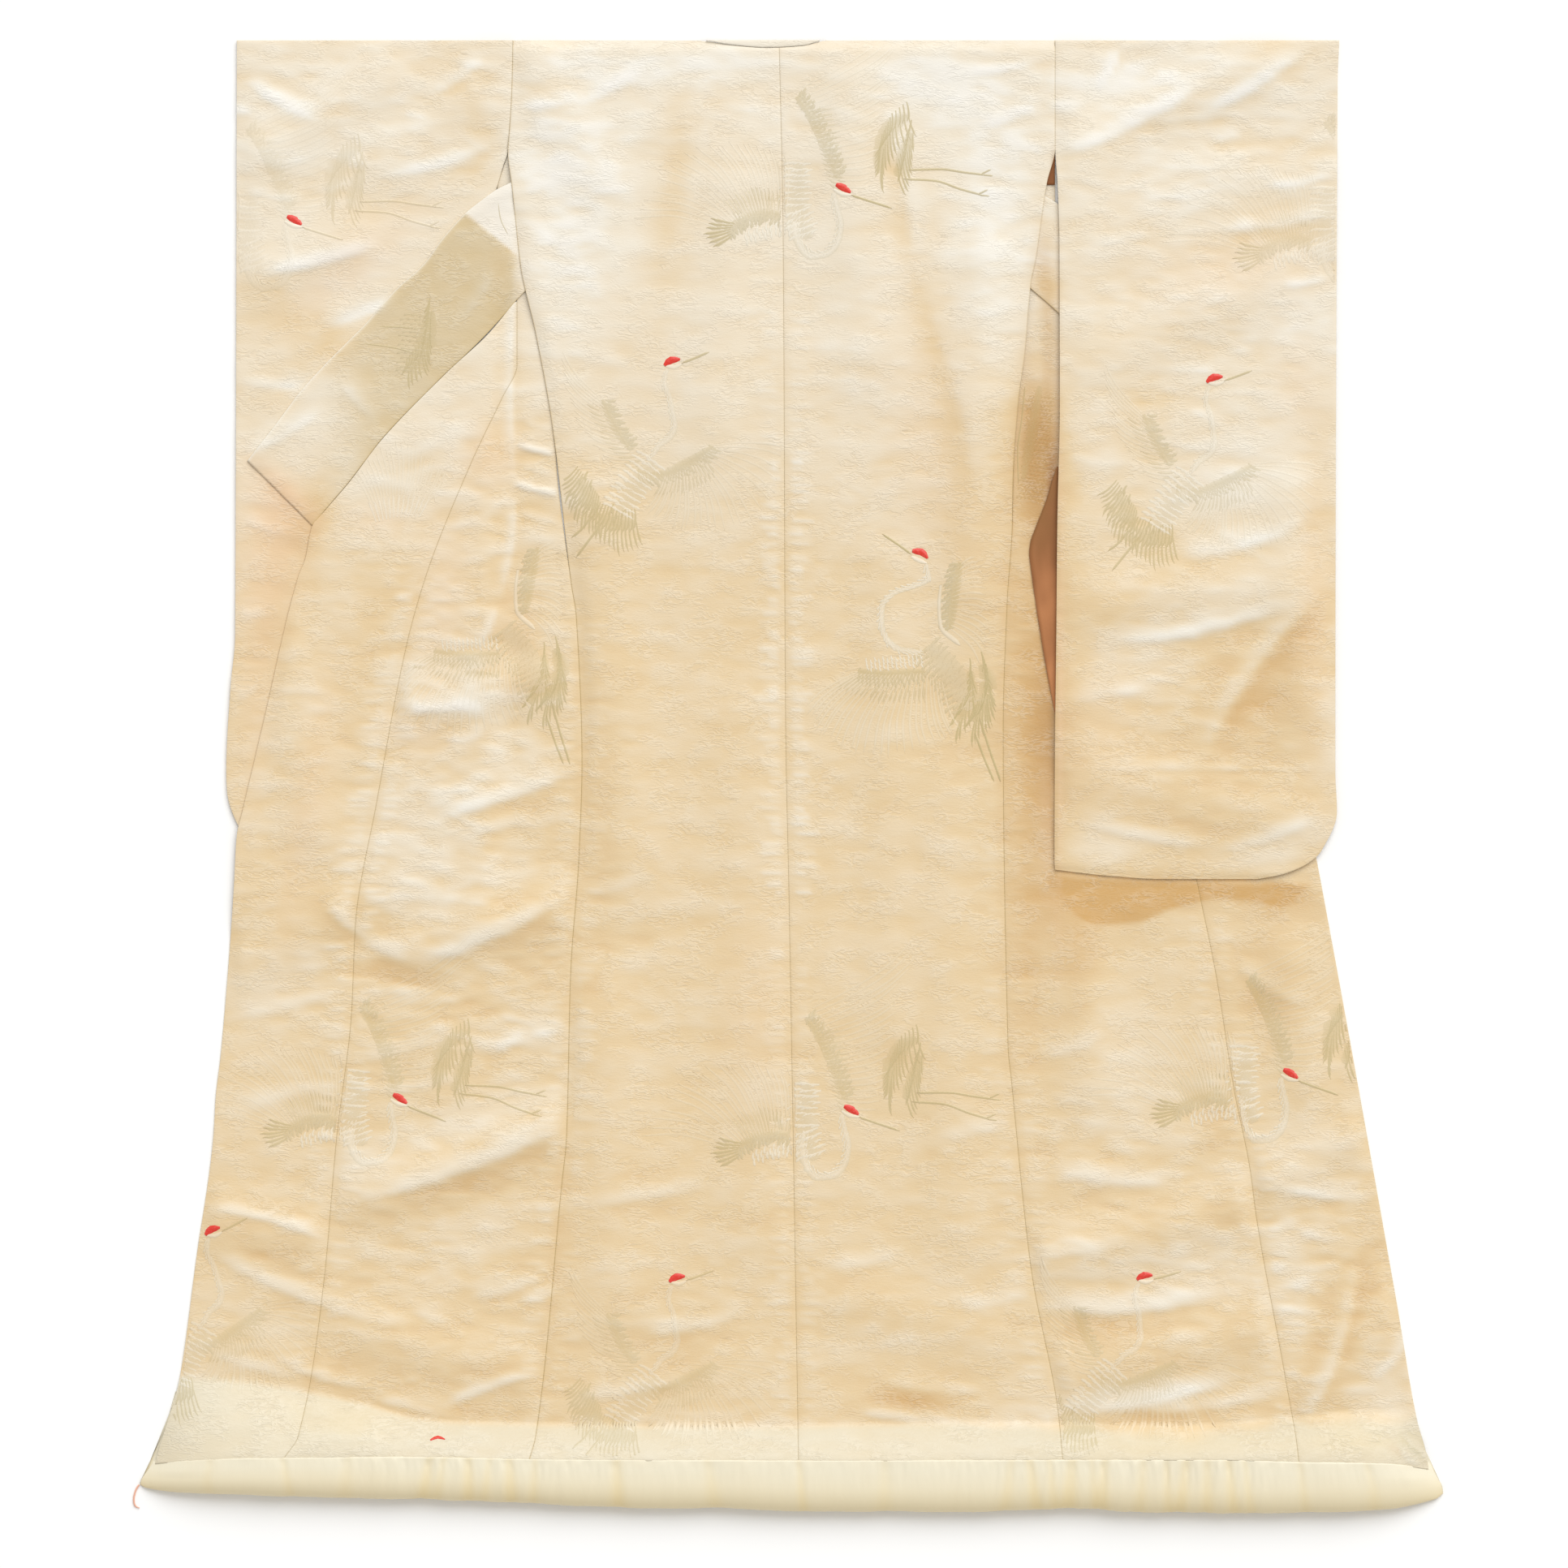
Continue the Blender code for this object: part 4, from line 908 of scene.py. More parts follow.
# A material under construction; node takes a type, its settings, and its sockets' values or links
class Cloth:
    def __init__(self, name):
        self.material = bpy.data.materials.new(name)
        self.material.use_nodes = True
        self.tree = self.material.node_tree
        self.shader = self.tree.nodes["Principled BSDF"]

    def node(self, kind, settings, sockets, output=0):
        made = self.tree.nodes.new(kind)
        for key, value in settings.items():
            setattr(made, key, value)
        for key, value in sockets.items():
            self.feed(made.inputs[key], value)
        return Wire(self, made.outputs[output])

    def feed(self, socket, value):
        if isinstance(value, Wire):
            self.tree.links.new(value.socket, socket)
        else:
            socket.default_value = value

    def surface(self, **sockets):
        for key, value in sockets.items():
            self.feed(self.shader.inputs[key.replace("_", " ")], value)
        return self.material

    def noise(self, fineness, detail=1.0, distortion=0.0):
        place = self.node("ShaderNodeTexCoord", {}, {}, "Object")
        place = self.node("ShaderNodeMapping", {}, {"Vector": place, "Scale": fineness})
        sockets = {"Vector": place, "Scale": 1.0, "Detail": detail, "Distortion": distortion}
        return self.node("ShaderNodeTexNoise", {}, sockets)

    def bumped(self, strength, distance, height):
        sockets = {"Strength": strength, "Distance": distance, "Height": height}
        return self.node("ShaderNodeBump", {}, sockets)

    def tinted(self, colour, other, factor, blend="MIX"):
        settings = {"data_type": "RGBA", "blend_type": blend}
        return self.node("ShaderNodeMix", settings, {"Factor": factor, 6: colour, 7: other}, 2)

    def dyeAndShade(self):
        return self.node("ShaderNodeVertexColor", {"layer_name": "dyeAndShade"}, {})


brocadeLook = {"roughness": 0.46, "sheen": 0.16, "ripple": 0.00055, "rippleStrength": 0.60,
               "rippleFineness": (70, 205, 70), "clusterFineness": (30, 38, 30), "thread": 0.13,
               "threadFineness": (900, 260, 900), "rippleTint": 0.16, "lit": (0.88, 0.84, 0.74, 1),
               "driftFineness": (9, 9, 9), "drift": 0.30, "drifted": (0.74, 0.58, 0.36, 1)}


# Silk brocade: short level ripples in clusters, each a folded noise wave, over fine threads
def brocadeMaterial(look):
    cloth = Cloth("brocade")
    wave = cloth.noise(look["rippleFineness"], 1.5, 1.3)
    ripple = (1 - abs(wave - 0.5) * 7.0).clamped(0.0, 1.0)
    cluster = cloth.noise(look["clusterFineness"]).clamped(0.40, 0.62)
    clustered = ripple * (cluster * 0.8 + 0.2)
    threads = cloth.noise(look["threadFineness"])
    bump = cloth.bumped(look["rippleStrength"], look["ripple"], clustered + threads * look["thread"])
    lit = cloth.tinted(cloth.dyeAndShade(), look["lit"], clustered * look["rippleTint"])
    drift = cloth.noise(look["driftFineness"], 3.0)
    colour = cloth.tinted(lit, look["drifted"], (drift - 0.5) * look["drift"])
    rough = look["roughness"] + (1 - ripple) * 0.10
    return cloth.surface(Base_Color=colour, Roughness=rough, Normal=bump, Sheen_Weight=look["sheen"],
                         Sheen_Roughness=0.35, Sheen_Tint=(1.0, 0.96, 0.88, 1), Specular_IOR_Level=0.45)


threadLook = {"roughness": 0.34, "sheen": 0.25, "barb": 0.0004, "barbFineness": (420, 520, 420),
              "lit": (0.90, 0.86, 0.76, 1)}


# Woven figure threads: glossy floats with fine barbs across
def figureMaterial(look):
    cloth = Cloth("figure_threads")
    barbs = cloth.noise(look["barbFineness"])
    bump = cloth.bumped(0.5, look["barb"], barbs)
    colour = cloth.tinted(cloth.dyeAndShade(), look["lit"], (barbs - 0.5) * 0.25)
    return cloth.surface(Base_Color=colour, Roughness=look["roughness"], Normal=bump,
                         Sheen_Weight=look["sheen"], Specular_IOR_Level=0.5)


satinLook = {"roughness": 0.40, "sheen": 0.20, "crinkle": 0.0006, "crinkleFineness": (120, 34, 60),
             "threadFineness": (160, 1400, 900), "driftFineness": (14, 20, 14),
             "drifted": (0.70, 0.56, 0.33, 1)}


# Plain satin of the hem: fine crosswise crinkles and long threads
def satinMaterial(look):
    cloth = Cloth("hem_satin")
    crinkle = cloth.noise(look["crinkleFineness"], 3.0, 0.5)
    threads = cloth.noise(look["threadFineness"])
    bump = cloth.bumped(0.5, look["crinkle"], crinkle + threads * 0.08)
    drift = cloth.noise(look["driftFineness"], 2.0)
    colour = cloth.tinted(cloth.dyeAndShade(), look["drifted"], (drift - 0.5) * 0.4)
    return cloth.surface(Base_Color=colour, Roughness=look["roughness"], Normal=bump,
                         Sheen_Weight=look["sheen"], Specular_IOR_Level=0.5)


liningLook = {"roughness": 0.62, "weave": 0.0006, "weaveFineness": (700, 700, 700),
              "softFineness": (60, 25, 60)}


def liningMaterial(look):
    cloth = Cloth("pink_lining")
    weave = cloth.noise(look["weaveFineness"])
    soft = cloth.noise(look["softFineness"], 2.0)
    bump = cloth.bumped(0.5, look["weave"], soft + weave * 0.2)
    return cloth.surface(Base_Color=cloth.dyeAndShade(), Roughness=look["roughness"], Normal=bump, Sheen_Weight=0.2)


brocade = brocadeMaterial(brocadeLook)
figureThreads = figureMaterial(threadLook)
hemSatin = satinMaterial(satinLook)
pinkLining = liningMaterial(liningLook)


def makePanel(name):
    spec = panels[name]
    right, down, sides = panelGrid(spec)
    under = spec["under"](right, down) + foldHeight(name, right, down) - edgeSettle(name, right, down)
    top = panelTop(name, right, down)
    firstRow, lastRow = down - down[:1], down[-1:] - down
    # a sewn or folded edge rolls over: a bell-shaped drop towards it
    nearest = np.minimum(sides, firstRow)
    if not spec.get("hem"):
        nearest = np.minimum(nearest, lastRow)
    top = top - seamLook["drop"] * np.exp(-(nearest / seamLook["reach"]) ** 2)
    top = top - seamLook["pressed"] * np.exp(-(nearest / seamLook["pressedReach"]) ** 2)
    if name == "sleeve_right_back":
        top = top - seamLook["turned"] * np.exp(-(lastRow / seamLook["turnedReach"]) ** 2)
    if spec.get("hem"):
        gather = 0.5 + 0.5 * np.sin(right / 1.9 + 1.4 * np.sin(right / 7.3) + down / 9)
        top = top - (0.1 + 0.5 * gather) * np.exp(-(lastRow / 5.5) ** 2) * along(rollFullness, right)
    top = np.maximum(top, under + seamLook["least"])
    leftHalf = np.arange(right.shape[1]) < right.shape[1] // 2
    stained = np.where(leftHalf, *spec["stain"]) * np.exp(-(sides / seamLook["stainReach"]) ** 2)
    colours = mixColour(groundColourAndShade(right, down), dyesAndShades["seam"], stained)
    piece = wallPiece(name, right, down, top, under, colours)
    finishPiece(piece, brocade, "brocade", name)


for panelName in panels:
    makePanel(panelName)


# The collar: a band between its free and its sewn edge, padded a little along the free one
collarLook = {
    "acrossCells": 40, "alongCells": 2.4, "near": (0, 0.3, 1.6, 4.5), "nearOf": 120, "inset": 0.5,
    "plump": 0.9, "plumpAt": 9, "sinkReach": 14, "endDrop": 1.1, "endReach": 7, "edgeReach": 1.8,
    "stain": 0.50, "stainReach": 1.2, "foldEdge": 0.75, "foldEdgeReach": 1.6,
}
# Painted shade along the left collar. Columns: right, strength. It ends at a fold, beyond which it is painted
# pale as a highlight.
collarTone = [
    (300, 0.02), (390, 0.04), (425, 0.20), (450, 0.36), (490, 0.47), (560, 0.50), (660, 0.52),
]
collarFold = (577, 267, 638, 317)


# the collar's ground: olive painted shade below the fold across it, a white painted highlight beyond it, and
# a dark seam line along the fold
def collarGround(right, down, showing):
    x0, y0, x1, y1 = collarFold
    past = ((down - y0) * (x1 - x0) - (right - x0) * (y1 - y0)) / math.hypot(x1 - x0, y1 - y0)
    shaded = along(collarTone, right) * step(-1, 2, past) * showing
    ground = mixColour(groundColourAndShade(right, down), dyesAndShades["olive"], shaded)
    ground = mixColour(ground, dyesAndShades["white"], 0.6 * (1 - step(-3, 0, past)) * showing)
    return mixColour(ground, dyesAndShades["seam"], 0.45 * np.exp(-(past / 0.9) ** 2) * showing)


def makeCollar(name, sections, underOf, look, shown):
    table = np.asarray(sections, float)
    sewnAtRight = table[0, 2] > table[0, 0]
    run = runOf((table[:, :2] + table[:, 2:]) / 2)
    at = np.linspace(0, run[-1], int(run[-1] / look["alongCells"]))
    freeRight, freeDown, sewnRight, sewnDown = (along(np.column_stack([run, table[:, k]]), at)[:, None]
                                                for k in range(4))
    near = np.array(look["near"]) / look["nearOf"]
    share = np.concatenate([near, np.linspace(0.06, 0.94, look["acrossCells"]), 1 - near[::-1]])[None, :]
    width = np.hypot(sewnRight - freeRight, sewnDown - freeDown)
    share = share * (1 - look["inset"] / width)
    right = freeRight + (sewnRight - freeRight) * share
    down = freeDown + (sewnDown - freeDown) * share
    if not sewnAtRight:
        right, down = right[:, ::-1], down[:, ::-1]
    # distances from the band's edges and its lower end, in the order in which its points lie
    start, end = share * width, (share[:, -1:] - share) * width
    freeSide, sewnSide = (start, end) if sewnAtRight else (end, start)
    nearEnd = (run[-1] - at)[:, None]
    under = underOf(right, down) + foldHeight(name, right, down)
    if name == "collar_left":
        spare = np.maximum(collarLeftUnder(right, down) - frontLeftUnder(right, down), 0)
        under = under - spare * np.exp(-(sewnSide / look["sinkReach"]) ** 2) * (1 - step(632, 645, right))
    showing = shown(right, down)
    top = under + layers["bodyWall"] + readChart(relief, right, down) * showing
    top = top + look["plump"] * np.exp(-((start - look["plumpAt"]) / look["plumpAt"]) ** 2) * showing
    nearest = np.minimum(np.minimum(start, end), nearEnd)
    top = top - seamLook["drop"] * np.exp(-(nearest / look["edgeReach"]) ** 2)
    top = top - look["endDrop"] * np.exp(-(nearEnd / look["endReach"]) ** 2)
    top = np.maximum(top, under + seamLook["least"])
    # painted highlight: a pale line along the free edge
    pale = look["foldEdge"] * np.exp(-(freeSide / look["foldEdgeReach"]) ** 2)
    stained = look["stain"] * np.exp(-(sewnSide / look["stainReach"]) ** 2)
    colours = mixColour(collarGround(right, down, showing), dyesAndShades["pale"], pale)
    colours = mixColour(colours, dyesAndShades["seam"], stained)
    piece = wallPiece(name, right, down, top, under, colours)
    finishPiece(piece, brocade, "brocade", name)


makeCollar("collar_left", collarLeft, collarLeftUnder, collarLook, lambda r, d: 1 - step(628, 645, r))
makeCollar("collar_right", collarRight, collarRightUnder, collarLook, lambda r, d: 0 * r)


neckBandLook = {"ends": (870, 1010), "columns": 71, "shares": (0, 0.12, 0.3, 0.6, 0.85, 1.0), "wall": 4.4,
                "gap": 0.6, "foldDrop": 0.4, "seamDrop": 0.5, "reach": 0.12, "pale": 0.5}


# the stretch round the back of the neck, folded double, with its fold at the top, painted pale all over as a
# highlight
def makeNeckBand(look):
    right = np.linspace(*look["ends"], look["columns"])
    foldDown = shoulder - 0.25
    share = np.array(look["shares"])[:, None]
    down = foldDown + (along(neckLine, right) - look["gap"] - foldDown) * share
    across = np.broadcast_to(right, down.shape)
    top = onFront + look["wall"] - look["foldDrop"] * np.exp(-(share / look["reach"]) ** 2)
    top = top - look["seamDrop"] * np.exp(-((share - 1) / look["reach"]) ** 2)
    # painted highlight: the band paler than the ground
    colours = mixColour(groundColourAndShade(across, down), dyesAndShades["pale"], np.full(down.shape, look["pale"]))
    piece = wallPiece("collar_back", across, down, top, onFront, colours)
    finishPiece(piece, brocade, "brocade", "collar_back")


makeNeckBand(neckBandLook)
print("collar made")


# The hem roll: a section swept along the hem, gathered at its seam
rollLook = {
    "cell": 2.6, "startRows": (172.5, 173.5, 175, 178), "endRows": (1770, 1774, 1777, 1778),
    # shares of a section's way: under the cloth from the seam to the crease, and down from the seam
    "hidden": (0.80, 0.60, 0.36, 0.14, 0.03), "dips": (0.02, 0.06, 0.14, 0.26, 0.42, 0.62, 0.82),
    "seamDown": 1797.0, "seamLift": 2.5, "crest": 1.5, "round": (90, -62, 17),
    # fine gathers, the slow swell of the wadding, and how the deep gathers lean, widen and fade
    "pucker": 0.95, "puckerLength": 12.0, "puckerSpread": (0.55, 2.6), "puckers": 26, "seed": 77,
    "swell": 0.8, "swells": ((190, 0.4), (118, 2.1), (73, 4.0)), "lean": 0.8, "widening": 0.07,
}
# Deeper gathers. Columns: right, half width, depth.
rollGathers = [
    (530, 5, 2.2), (548, 4, 1.4), (578, 5, 2.2), (604, 4, 1.5), (628, 5, 2.2), (760, 6, 2.0),
    (872, 6, 1.2), (984, 4, 1.6), (1090, 6, 1.0), (1245, 5, 1.4), (1268, 5, 2.2), (1292, 4, 1.5),
    (1320, 6, 2.4), (1344, 4, 1.4), (1360, 5, 2.2), (1408, 5, 1.4), (1436, 4, 1.6), (1460, 5, 2.2),
    (1486, 5, 1.8), (1512, 5, 2.0), (1532, 4, 1.4), (350, 4, 1.2), (430, 6, 1.0), (660, 4, 1.4),
    (1600, 4, 1.2), (250, 5, 0.9), (1690, 5, 1.0),
]

# How much the roll is gathered along the hem. Columns: right, amount.
gatherAmount = [
    (172, 0.2), (400, 0.3), (480, 1.2), (660, 1.3), (760, 0.8), (900, 0.6), (1050, 0.6),
    (1200, 1.1), (1300, 1.6), (1540, 1.7), (1600, 0.7), (1778, 0.3),
]


# places and heights round each section, from under the cloth over the hem seam and the crest, down
# the lower side as an ellipse by its angle, and back along the floor; and each section's middle
def rollSections(look, stations, full):
    low = along(hemLow, stations)[:, None]
    below = 0.8 + 3.0 * (1 - full)
    down = np.full((len(stations), len(look["hidden"])), look["seamDown"])
    for _ in range(4):
        right = slanted(stations[:, None], down)
        seam, crease = along(hemSeam, right), along(creaseLine, right)
        down = seam - np.array(look["hidden"])[None, :] * (seam - crease)
    height = np.maximum(hemRise(right, down) - below, 0.25)
    seam = along(hemSeam, slanted(stations[:, None], look["seamDown"]))
    south = roll["southDepth"] * np.minimum(1, (low - seam) / 60)
    dip = np.array(look["dips"])[None, :]
    crestDown = seam + dip * (low - south - seam)
    atCloth = roll["seamHeight"] * full + look["seamLift"] * np.minimum(1, 1.6 * full)
    crestHeight = atCloth + look["crest"] * full * np.sin(dip * math.pi / 2) ** 0.8
    angle = np.radians(np.linspace(*look["round"]))[None, :]
    half = roll["height"] / 2 * full
    roundDown = low - south + south * np.cos(angle)
    roundHeight = half + half * np.sin(angle)
    crease = along(creaseLine, right[:, :1])
    foot = crease + 0.20 * (seam - crease) + 1
    flatDown = np.concatenate([low - south, (low - south + foot) / 2, foot], axis=1)
    downs = np.concatenate([down, crestDown, roundDown, flatDown], axis=1)
    heights = np.concatenate([height, crestHeight, roundHeight, np.zeros_like(flatDown)], axis=1)
    rights = slanted(stations[:, None], downs)
    rights[:, :len(look["hidden"])] = right
    return rights, downs, heights, ((low + seam) / 2 - 4, half * 0.9)


# fine gathers everywhere as a sum of sines, each leaning its own way round the section
def fineGathers(look, stations, order):
    dice = np.random.default_rng(look["seed"])
    waves = np.zeros((len(stations), len(order)))
    for _ in range(look["puckers"]):
        length = look["puckerLength"] * dice.uniform(*look["puckerSpread"])
        phase = stations[:, None] / length + dice.normal(0, 0.11) * order[None, :]
        waves += np.sin(2 * math.pi * phase + dice.uniform(0, 6.3))
    strong = 0.10 + 0.75 * np.clip(along(gatherAmount, stations), 0, 2)[:, None]
    return look["pucker"] * strong * waves / look["puckers"] ** 0.5


# the table's gathers, each a bell along the roll that leans and widens away from the hem seam
def deepGathers(look, stations, fromSeam):
    deep = np.zeros((len(stations), fromSeam.shape[1]))
    for place, wide, depth in rollGathers:
        lean = look["lean"] * math.sin(place) * fromSeam
        wider = wide * (1 + look["widening"] * abs(fromSeam))
        deep = deep + depth * np.exp(-((stations[:, None] + lean - place) / wider) ** 2)
    return deep


# quads round every section and along, and both ends closed on a line of quads between their halves
def rollQuads(count, around):
    index = np.arange(count * around).reshape(count, around)
    after = np.roll(index, -1, axis=1)
    quads = np.stack([index[:-1], after[:-1], after[1:], index[1:]], -1).reshape(-1, 4)
    caps = []
    for row, turn in ((index[0], 1), (index[-1], -1)):
        for k in range(around // 2 - 1):
            quad = [row[k], row[k + 1], row[around - 2 - k], row[around - 1 - k]]
            caps.append(quad[::-turn])
    return np.concatenate([quads, np.array(caps)])


def makeRoll(look):
    even = np.arange(182, 1768, look["cell"])
    stations = np.concatenate([look["startRows"], even, look["endRows"]])
    full = along(rollFullness, stations)[:, None]
    rights, downs, heights, (centreDown, centreHeight) = rollSections(look, stations, full)
    # gathers move the points out from or in to the section's middle, most of all at the hem seam
    order = np.arange(downs.shape[1])
    fromSeam = (order - 6)[None, :]
    atSeam = np.exp(-((order - 6) / 3.2) ** 2)[None, :]
    outside = ((order >= 5) & (order <= 26))[None, :]
    body = outside * np.clip((27 - order) / 6, 0, 1)[None, :]
    held = np.clip((order - 5) / 3, 0.12, 1)[None, :]
    waves, deep = fineGathers(look, stations, order), deepGathers(look, stations, fromSeam)
    slow = sum(np.sin(2 * math.pi * stations / w + p) for w, p in look["swells"]) / len(look["swells"])
    move = waves * (0.22 + 0.9 * atSeam) + look["swell"] * slow[:, None] - deep * (0.42 + 0.95 * atSeam)
    move = move * body * full * held
    awayDown, awayHeight = downs - centreDown, heights - centreHeight
    reach = np.hypot(awayDown, awayHeight) + 1e-6
    downs = downs + awayDown / reach * move
    heights = np.maximum(heights + awayHeight / reach * move, 0)
    piece = newMesh("hem_roll", toWorld(rights, downs, heights).reshape(-1, 3), rollQuads(*downs.shape))
    # painted shade: the roll darker on its lower side and in its deep gathers
    lowness = np.clip((order - 9) / 12, 0, 1)[None, :] * np.ones((len(stations), 1))
    paint(piece, mixColour(dyesAndShades["satin"], dyesAndShades["satinLow"], lowness * 0.8 + 0.18 * np.clip(deep, 0, 2)))
    return piece


hemRoll = makeRoll(rollLook)
finishPiece(hemRoll, hemSatin, "hem_satin", "hem_okumi_left", "hem_front_left", "hem_back_left",
            "hem_back_right", "hem_front_right", "hem_okumi_right")
print("hem roll made, points", len(hemRoll.data.vertices))


# The pink lining where it shows. Columns: down, left edge, right edge.
linings = {
    "lining_opening_top": [(186, 1290, 1299.5), (205, 1283, 1299.5), (228, 1279, 1299.5)],
    "lining_opening": [
        (575, 1302, 1306), (592, 1296.5, 1308), (612, 1290.5, 1310), (632, 1283, 1312),
        (652, 1275, 1313), (668, 1269.5, 1314), (682, 1268, 1315), (700, 1270, 1316),
        (750, 1277, 1318), (800, 1285, 1318), (850, 1294, 1318), (880, 1300, 1318),
    ],
}
openingLook = {"wall": 1.6, "fold": 0.45, "cell": 3, "columns": 9, "brown": 0.75, "brownGrain": 0.15,
               "towardsSleeve": 0.26, "grain": 0.09}
# How deep the lining's shade is. Columns: down, share.
liningDepth = [
    (180, 1.0), (570, 0.95), (640, 0.88), (690, 0.66), (730, 0.42), (800, 0.30), (850, 0.10),
    (885, 0.06),
]
liningGrain = grain(43, 4.0, 9.0)


def makeLining(name, rows, look):
    first, last = rows[0][0], rows[-1][0]
    places = np.linspace(first, last, int((last - first) / look["cell"]) + 2)[:, None]
    left, right = along(rows, places), along(rows, places, 2)
    share = np.linspace(0, 1, look["columns"])[None, :]
    across = left + (right - left) * share
    down = places + 0 * share
    fold = look["fold"] * np.sin(across / 3.1 + down / 26) * np.sin(math.pi * share)
    spread = readChart(liningGrain, across, down)
    # painted shade: the pink is deeper higher up and towards the sleeve, and its upper left turns deep brown
    deep = along(liningDepth, down) + look["towardsSleeve"] * (share ** 1.5 - 0.4) + look["grain"] * spread
    shade = mixColour(dyesAndShades["pink"], dyesAndShades["pinkShade"], deep)
    brown = (1 - step(640, 720, down)) * (1 - share) ** 0.7 * step(560, 580, down)
    shade = mixColour(shade, dyesAndShades["umber"], brown * (look["brown"] + look["brownGrain"] * spread))
    piece = wallPiece(name, across, down, onFront + look["wall"] + fold, onFront, shade)
    finishPiece(piece, pinkLining, "pink_lining", name)
    wide, long = float((right - left).max()) * mm, float(np.ptp(places)) * mm


for liningName, liningRows in linings.items():
    makeLining(liningName, liningRows, openingLook)


# the pink thread end at the left tip: a thin round thread along a short curl
threadEnd = {"path": [(171.5, 1829.5), (168.4, 1834), (166.2, 1840), (165.0, 1847), (165.4, 1852),
                      (167.5, 1856), (172, 1858)], "radius": 1.1, "thinning": 0.45}


def makeThreadEnd(look):
    route = np.asarray(look["path"], float)
    run = runOf(route)
    at = np.linspace(0, run[-1], 40)
    right, down = (along(np.column_stack([run, route[:, k]]), at) for k in (0, 1))
    turn = np.linspace(0, 2 * math.pi, 9)[:-1][None, :]
    tx, ty = np.gradient(right), np.gradient(down)
    size = np.hypot(tx, ty)
    nx, ny = (-ty / size)[:, None], (tx / size)[:, None]
    thin = look["radius"] * (1 - look["thinning"] * step(0.75, 1.0, at / run[-1]))[:, None]
    x = right[:, None] + nx * np.cos(turn) * thin
    y = down[:, None] + ny * np.cos(turn) * thin
    z = look["radius"] + np.sin(turn) * thin + 0 * x
    index = np.arange(x.size).reshape(x.shape)
    after = np.roll(index, -1, axis=1)
    quads = np.stack([index[:-1], index[1:], after[1:], after[:-1]], -1).reshape(-1, 4)
    caps = index[0][[[0, 1, 2, 3], [0, 3, 4, 7], [4, 5, 6, 7]]]
    farCaps = caps[:, ::-1] + index[-1, 0]
    piece = newMesh("hem_thread_end", toWorld(x, y, z).reshape(-1, 3), np.concatenate([quads, caps, farCaps]))
    paint(piece, np.broadcast_to(np.array(dyesAndShades["thread"]), (x.size, 3)))
    finishPiece(piece, pinkLining, "pink_lining", "hem_thread")
    centre = toWorld(right, down, look["radius"])


makeThreadEnd(threadEnd)
print("lining and thread end made")


# Figures woven into the brocade: strokes are ribbons along curves, in a crane's own millimetres,
# right and down from its crown. Each has points, half width, height, and the dyes of its middle
# and its edges with their strengths.
def stroke(points, half, lift, middle, edge, shape="feather", across=3):
    return dict(points=points, half=half, lift=lift, middle=middle, edge=edge, shape=shape, across=across)


inks = {
    "quill": (("pale", 0.15), ("sage", 0.15)), "covert": (("sage", 0.26), ("silver", 0.58)),
    "scale": (("pale", 0.42), ("silver", 0.40)), "dull": (("silver", 0.20), ("sage", 0.40)),
    "plume": (("sage", 0.50), ("sage", 0.14)), "leg": (("sage", 0.50), ("sage", 0.30)),
    "wash": (("silver", 0.26), ("silver", 0.10)), "washSage": (("sage", 0.30), ("sage", 0.08)),
    # brown: painted shade over sage, for the wing that lies in the shade by the right sleeve
    "brown": (("shade", 0.35), ("sage", 0.55)),
    "neck": (("pale", 0.26), ("silver", 0.40)), "head": (("pale", 0.42), ("silver", 0.20)),
    "beak": (("sage", 0.55), ("sage", 0.35)), "crown": (("crown", 1.0), ("crown", 0.95)),
}


# feathers rooted along a bone, turned and lengthened evenly from its first to its last
def fan(bone, count, angles, lengths, half, ink, bend=0.0, seed=1, lift=0.30):
    dice = np.random.default_rng(seed)
    bone = np.asarray(bone, float)
    run = runOf(bone)
    made = []
    for k in range(count):
        share = k / (count - 1)
        x = np.interp(share * run[-1], run, bone[:, 0])
        y = np.interp(share * run[-1], run, bone[:, 1])
        a = math.radians(np.interp(share, np.linspace(0, 1, len(angles)), angles) + dice.normal(0, 1.0))
        size = np.interp(share, np.linspace(0, 1, len(lengths)), lengths) * dice.uniform(0.95, 1.05)
        t = np.array([0, 0.33, 0.67, 1.0])
        b = a + math.radians(bend) * t * t
        points = np.stack([x + size * t * np.cos(b), y + size * t * np.sin(b)], axis=1)
        made.append(stroke(points, half * dice.uniform(0.92, 1.08), lift, *inks[ink]))
    return made


# rows of short scales over a limb from one end to the other, leaning off its line
def scales(bone, width, rows, size, ink, lean=90.0, seed=3, closeness=0.55, lift=0.34):
    dice = np.random.default_rng(seed)
    bone = np.asarray(bone, float)
    run = runOf(bone)
    count = int(run[-1] / (size * closeness))
    made = []
    for k in range(count):
        s = (k + 0.5) / count * run[-1]
        here, ahead, behind = (np.array([np.interp(s + d, run, bone[:, i]) for i in (0, 1)])
                               for d in (0, 2, -2))
        a = math.atan2(*(ahead - behind)[::-1])
        for r in range(rows):
            off = ((r + 0.5 * (k % 2)) / max(1, rows - 0.5) * 2 - 1) * width if rows > 1 else 0
            start = here + off * np.array([-math.sin(a), math.cos(a)])
            b = a + math.radians(lean) + dice.normal(0, 0.10)
            middle = start + size * 0.5 * np.array([math.cos(b + 0.3), math.sin(b + 0.3)])
            tip = start + size * np.array([math.cos(b), math.sin(b)])
            made.append(stroke([start, middle, tip], size * 0.24, lift, *inks[ink]))
    return made


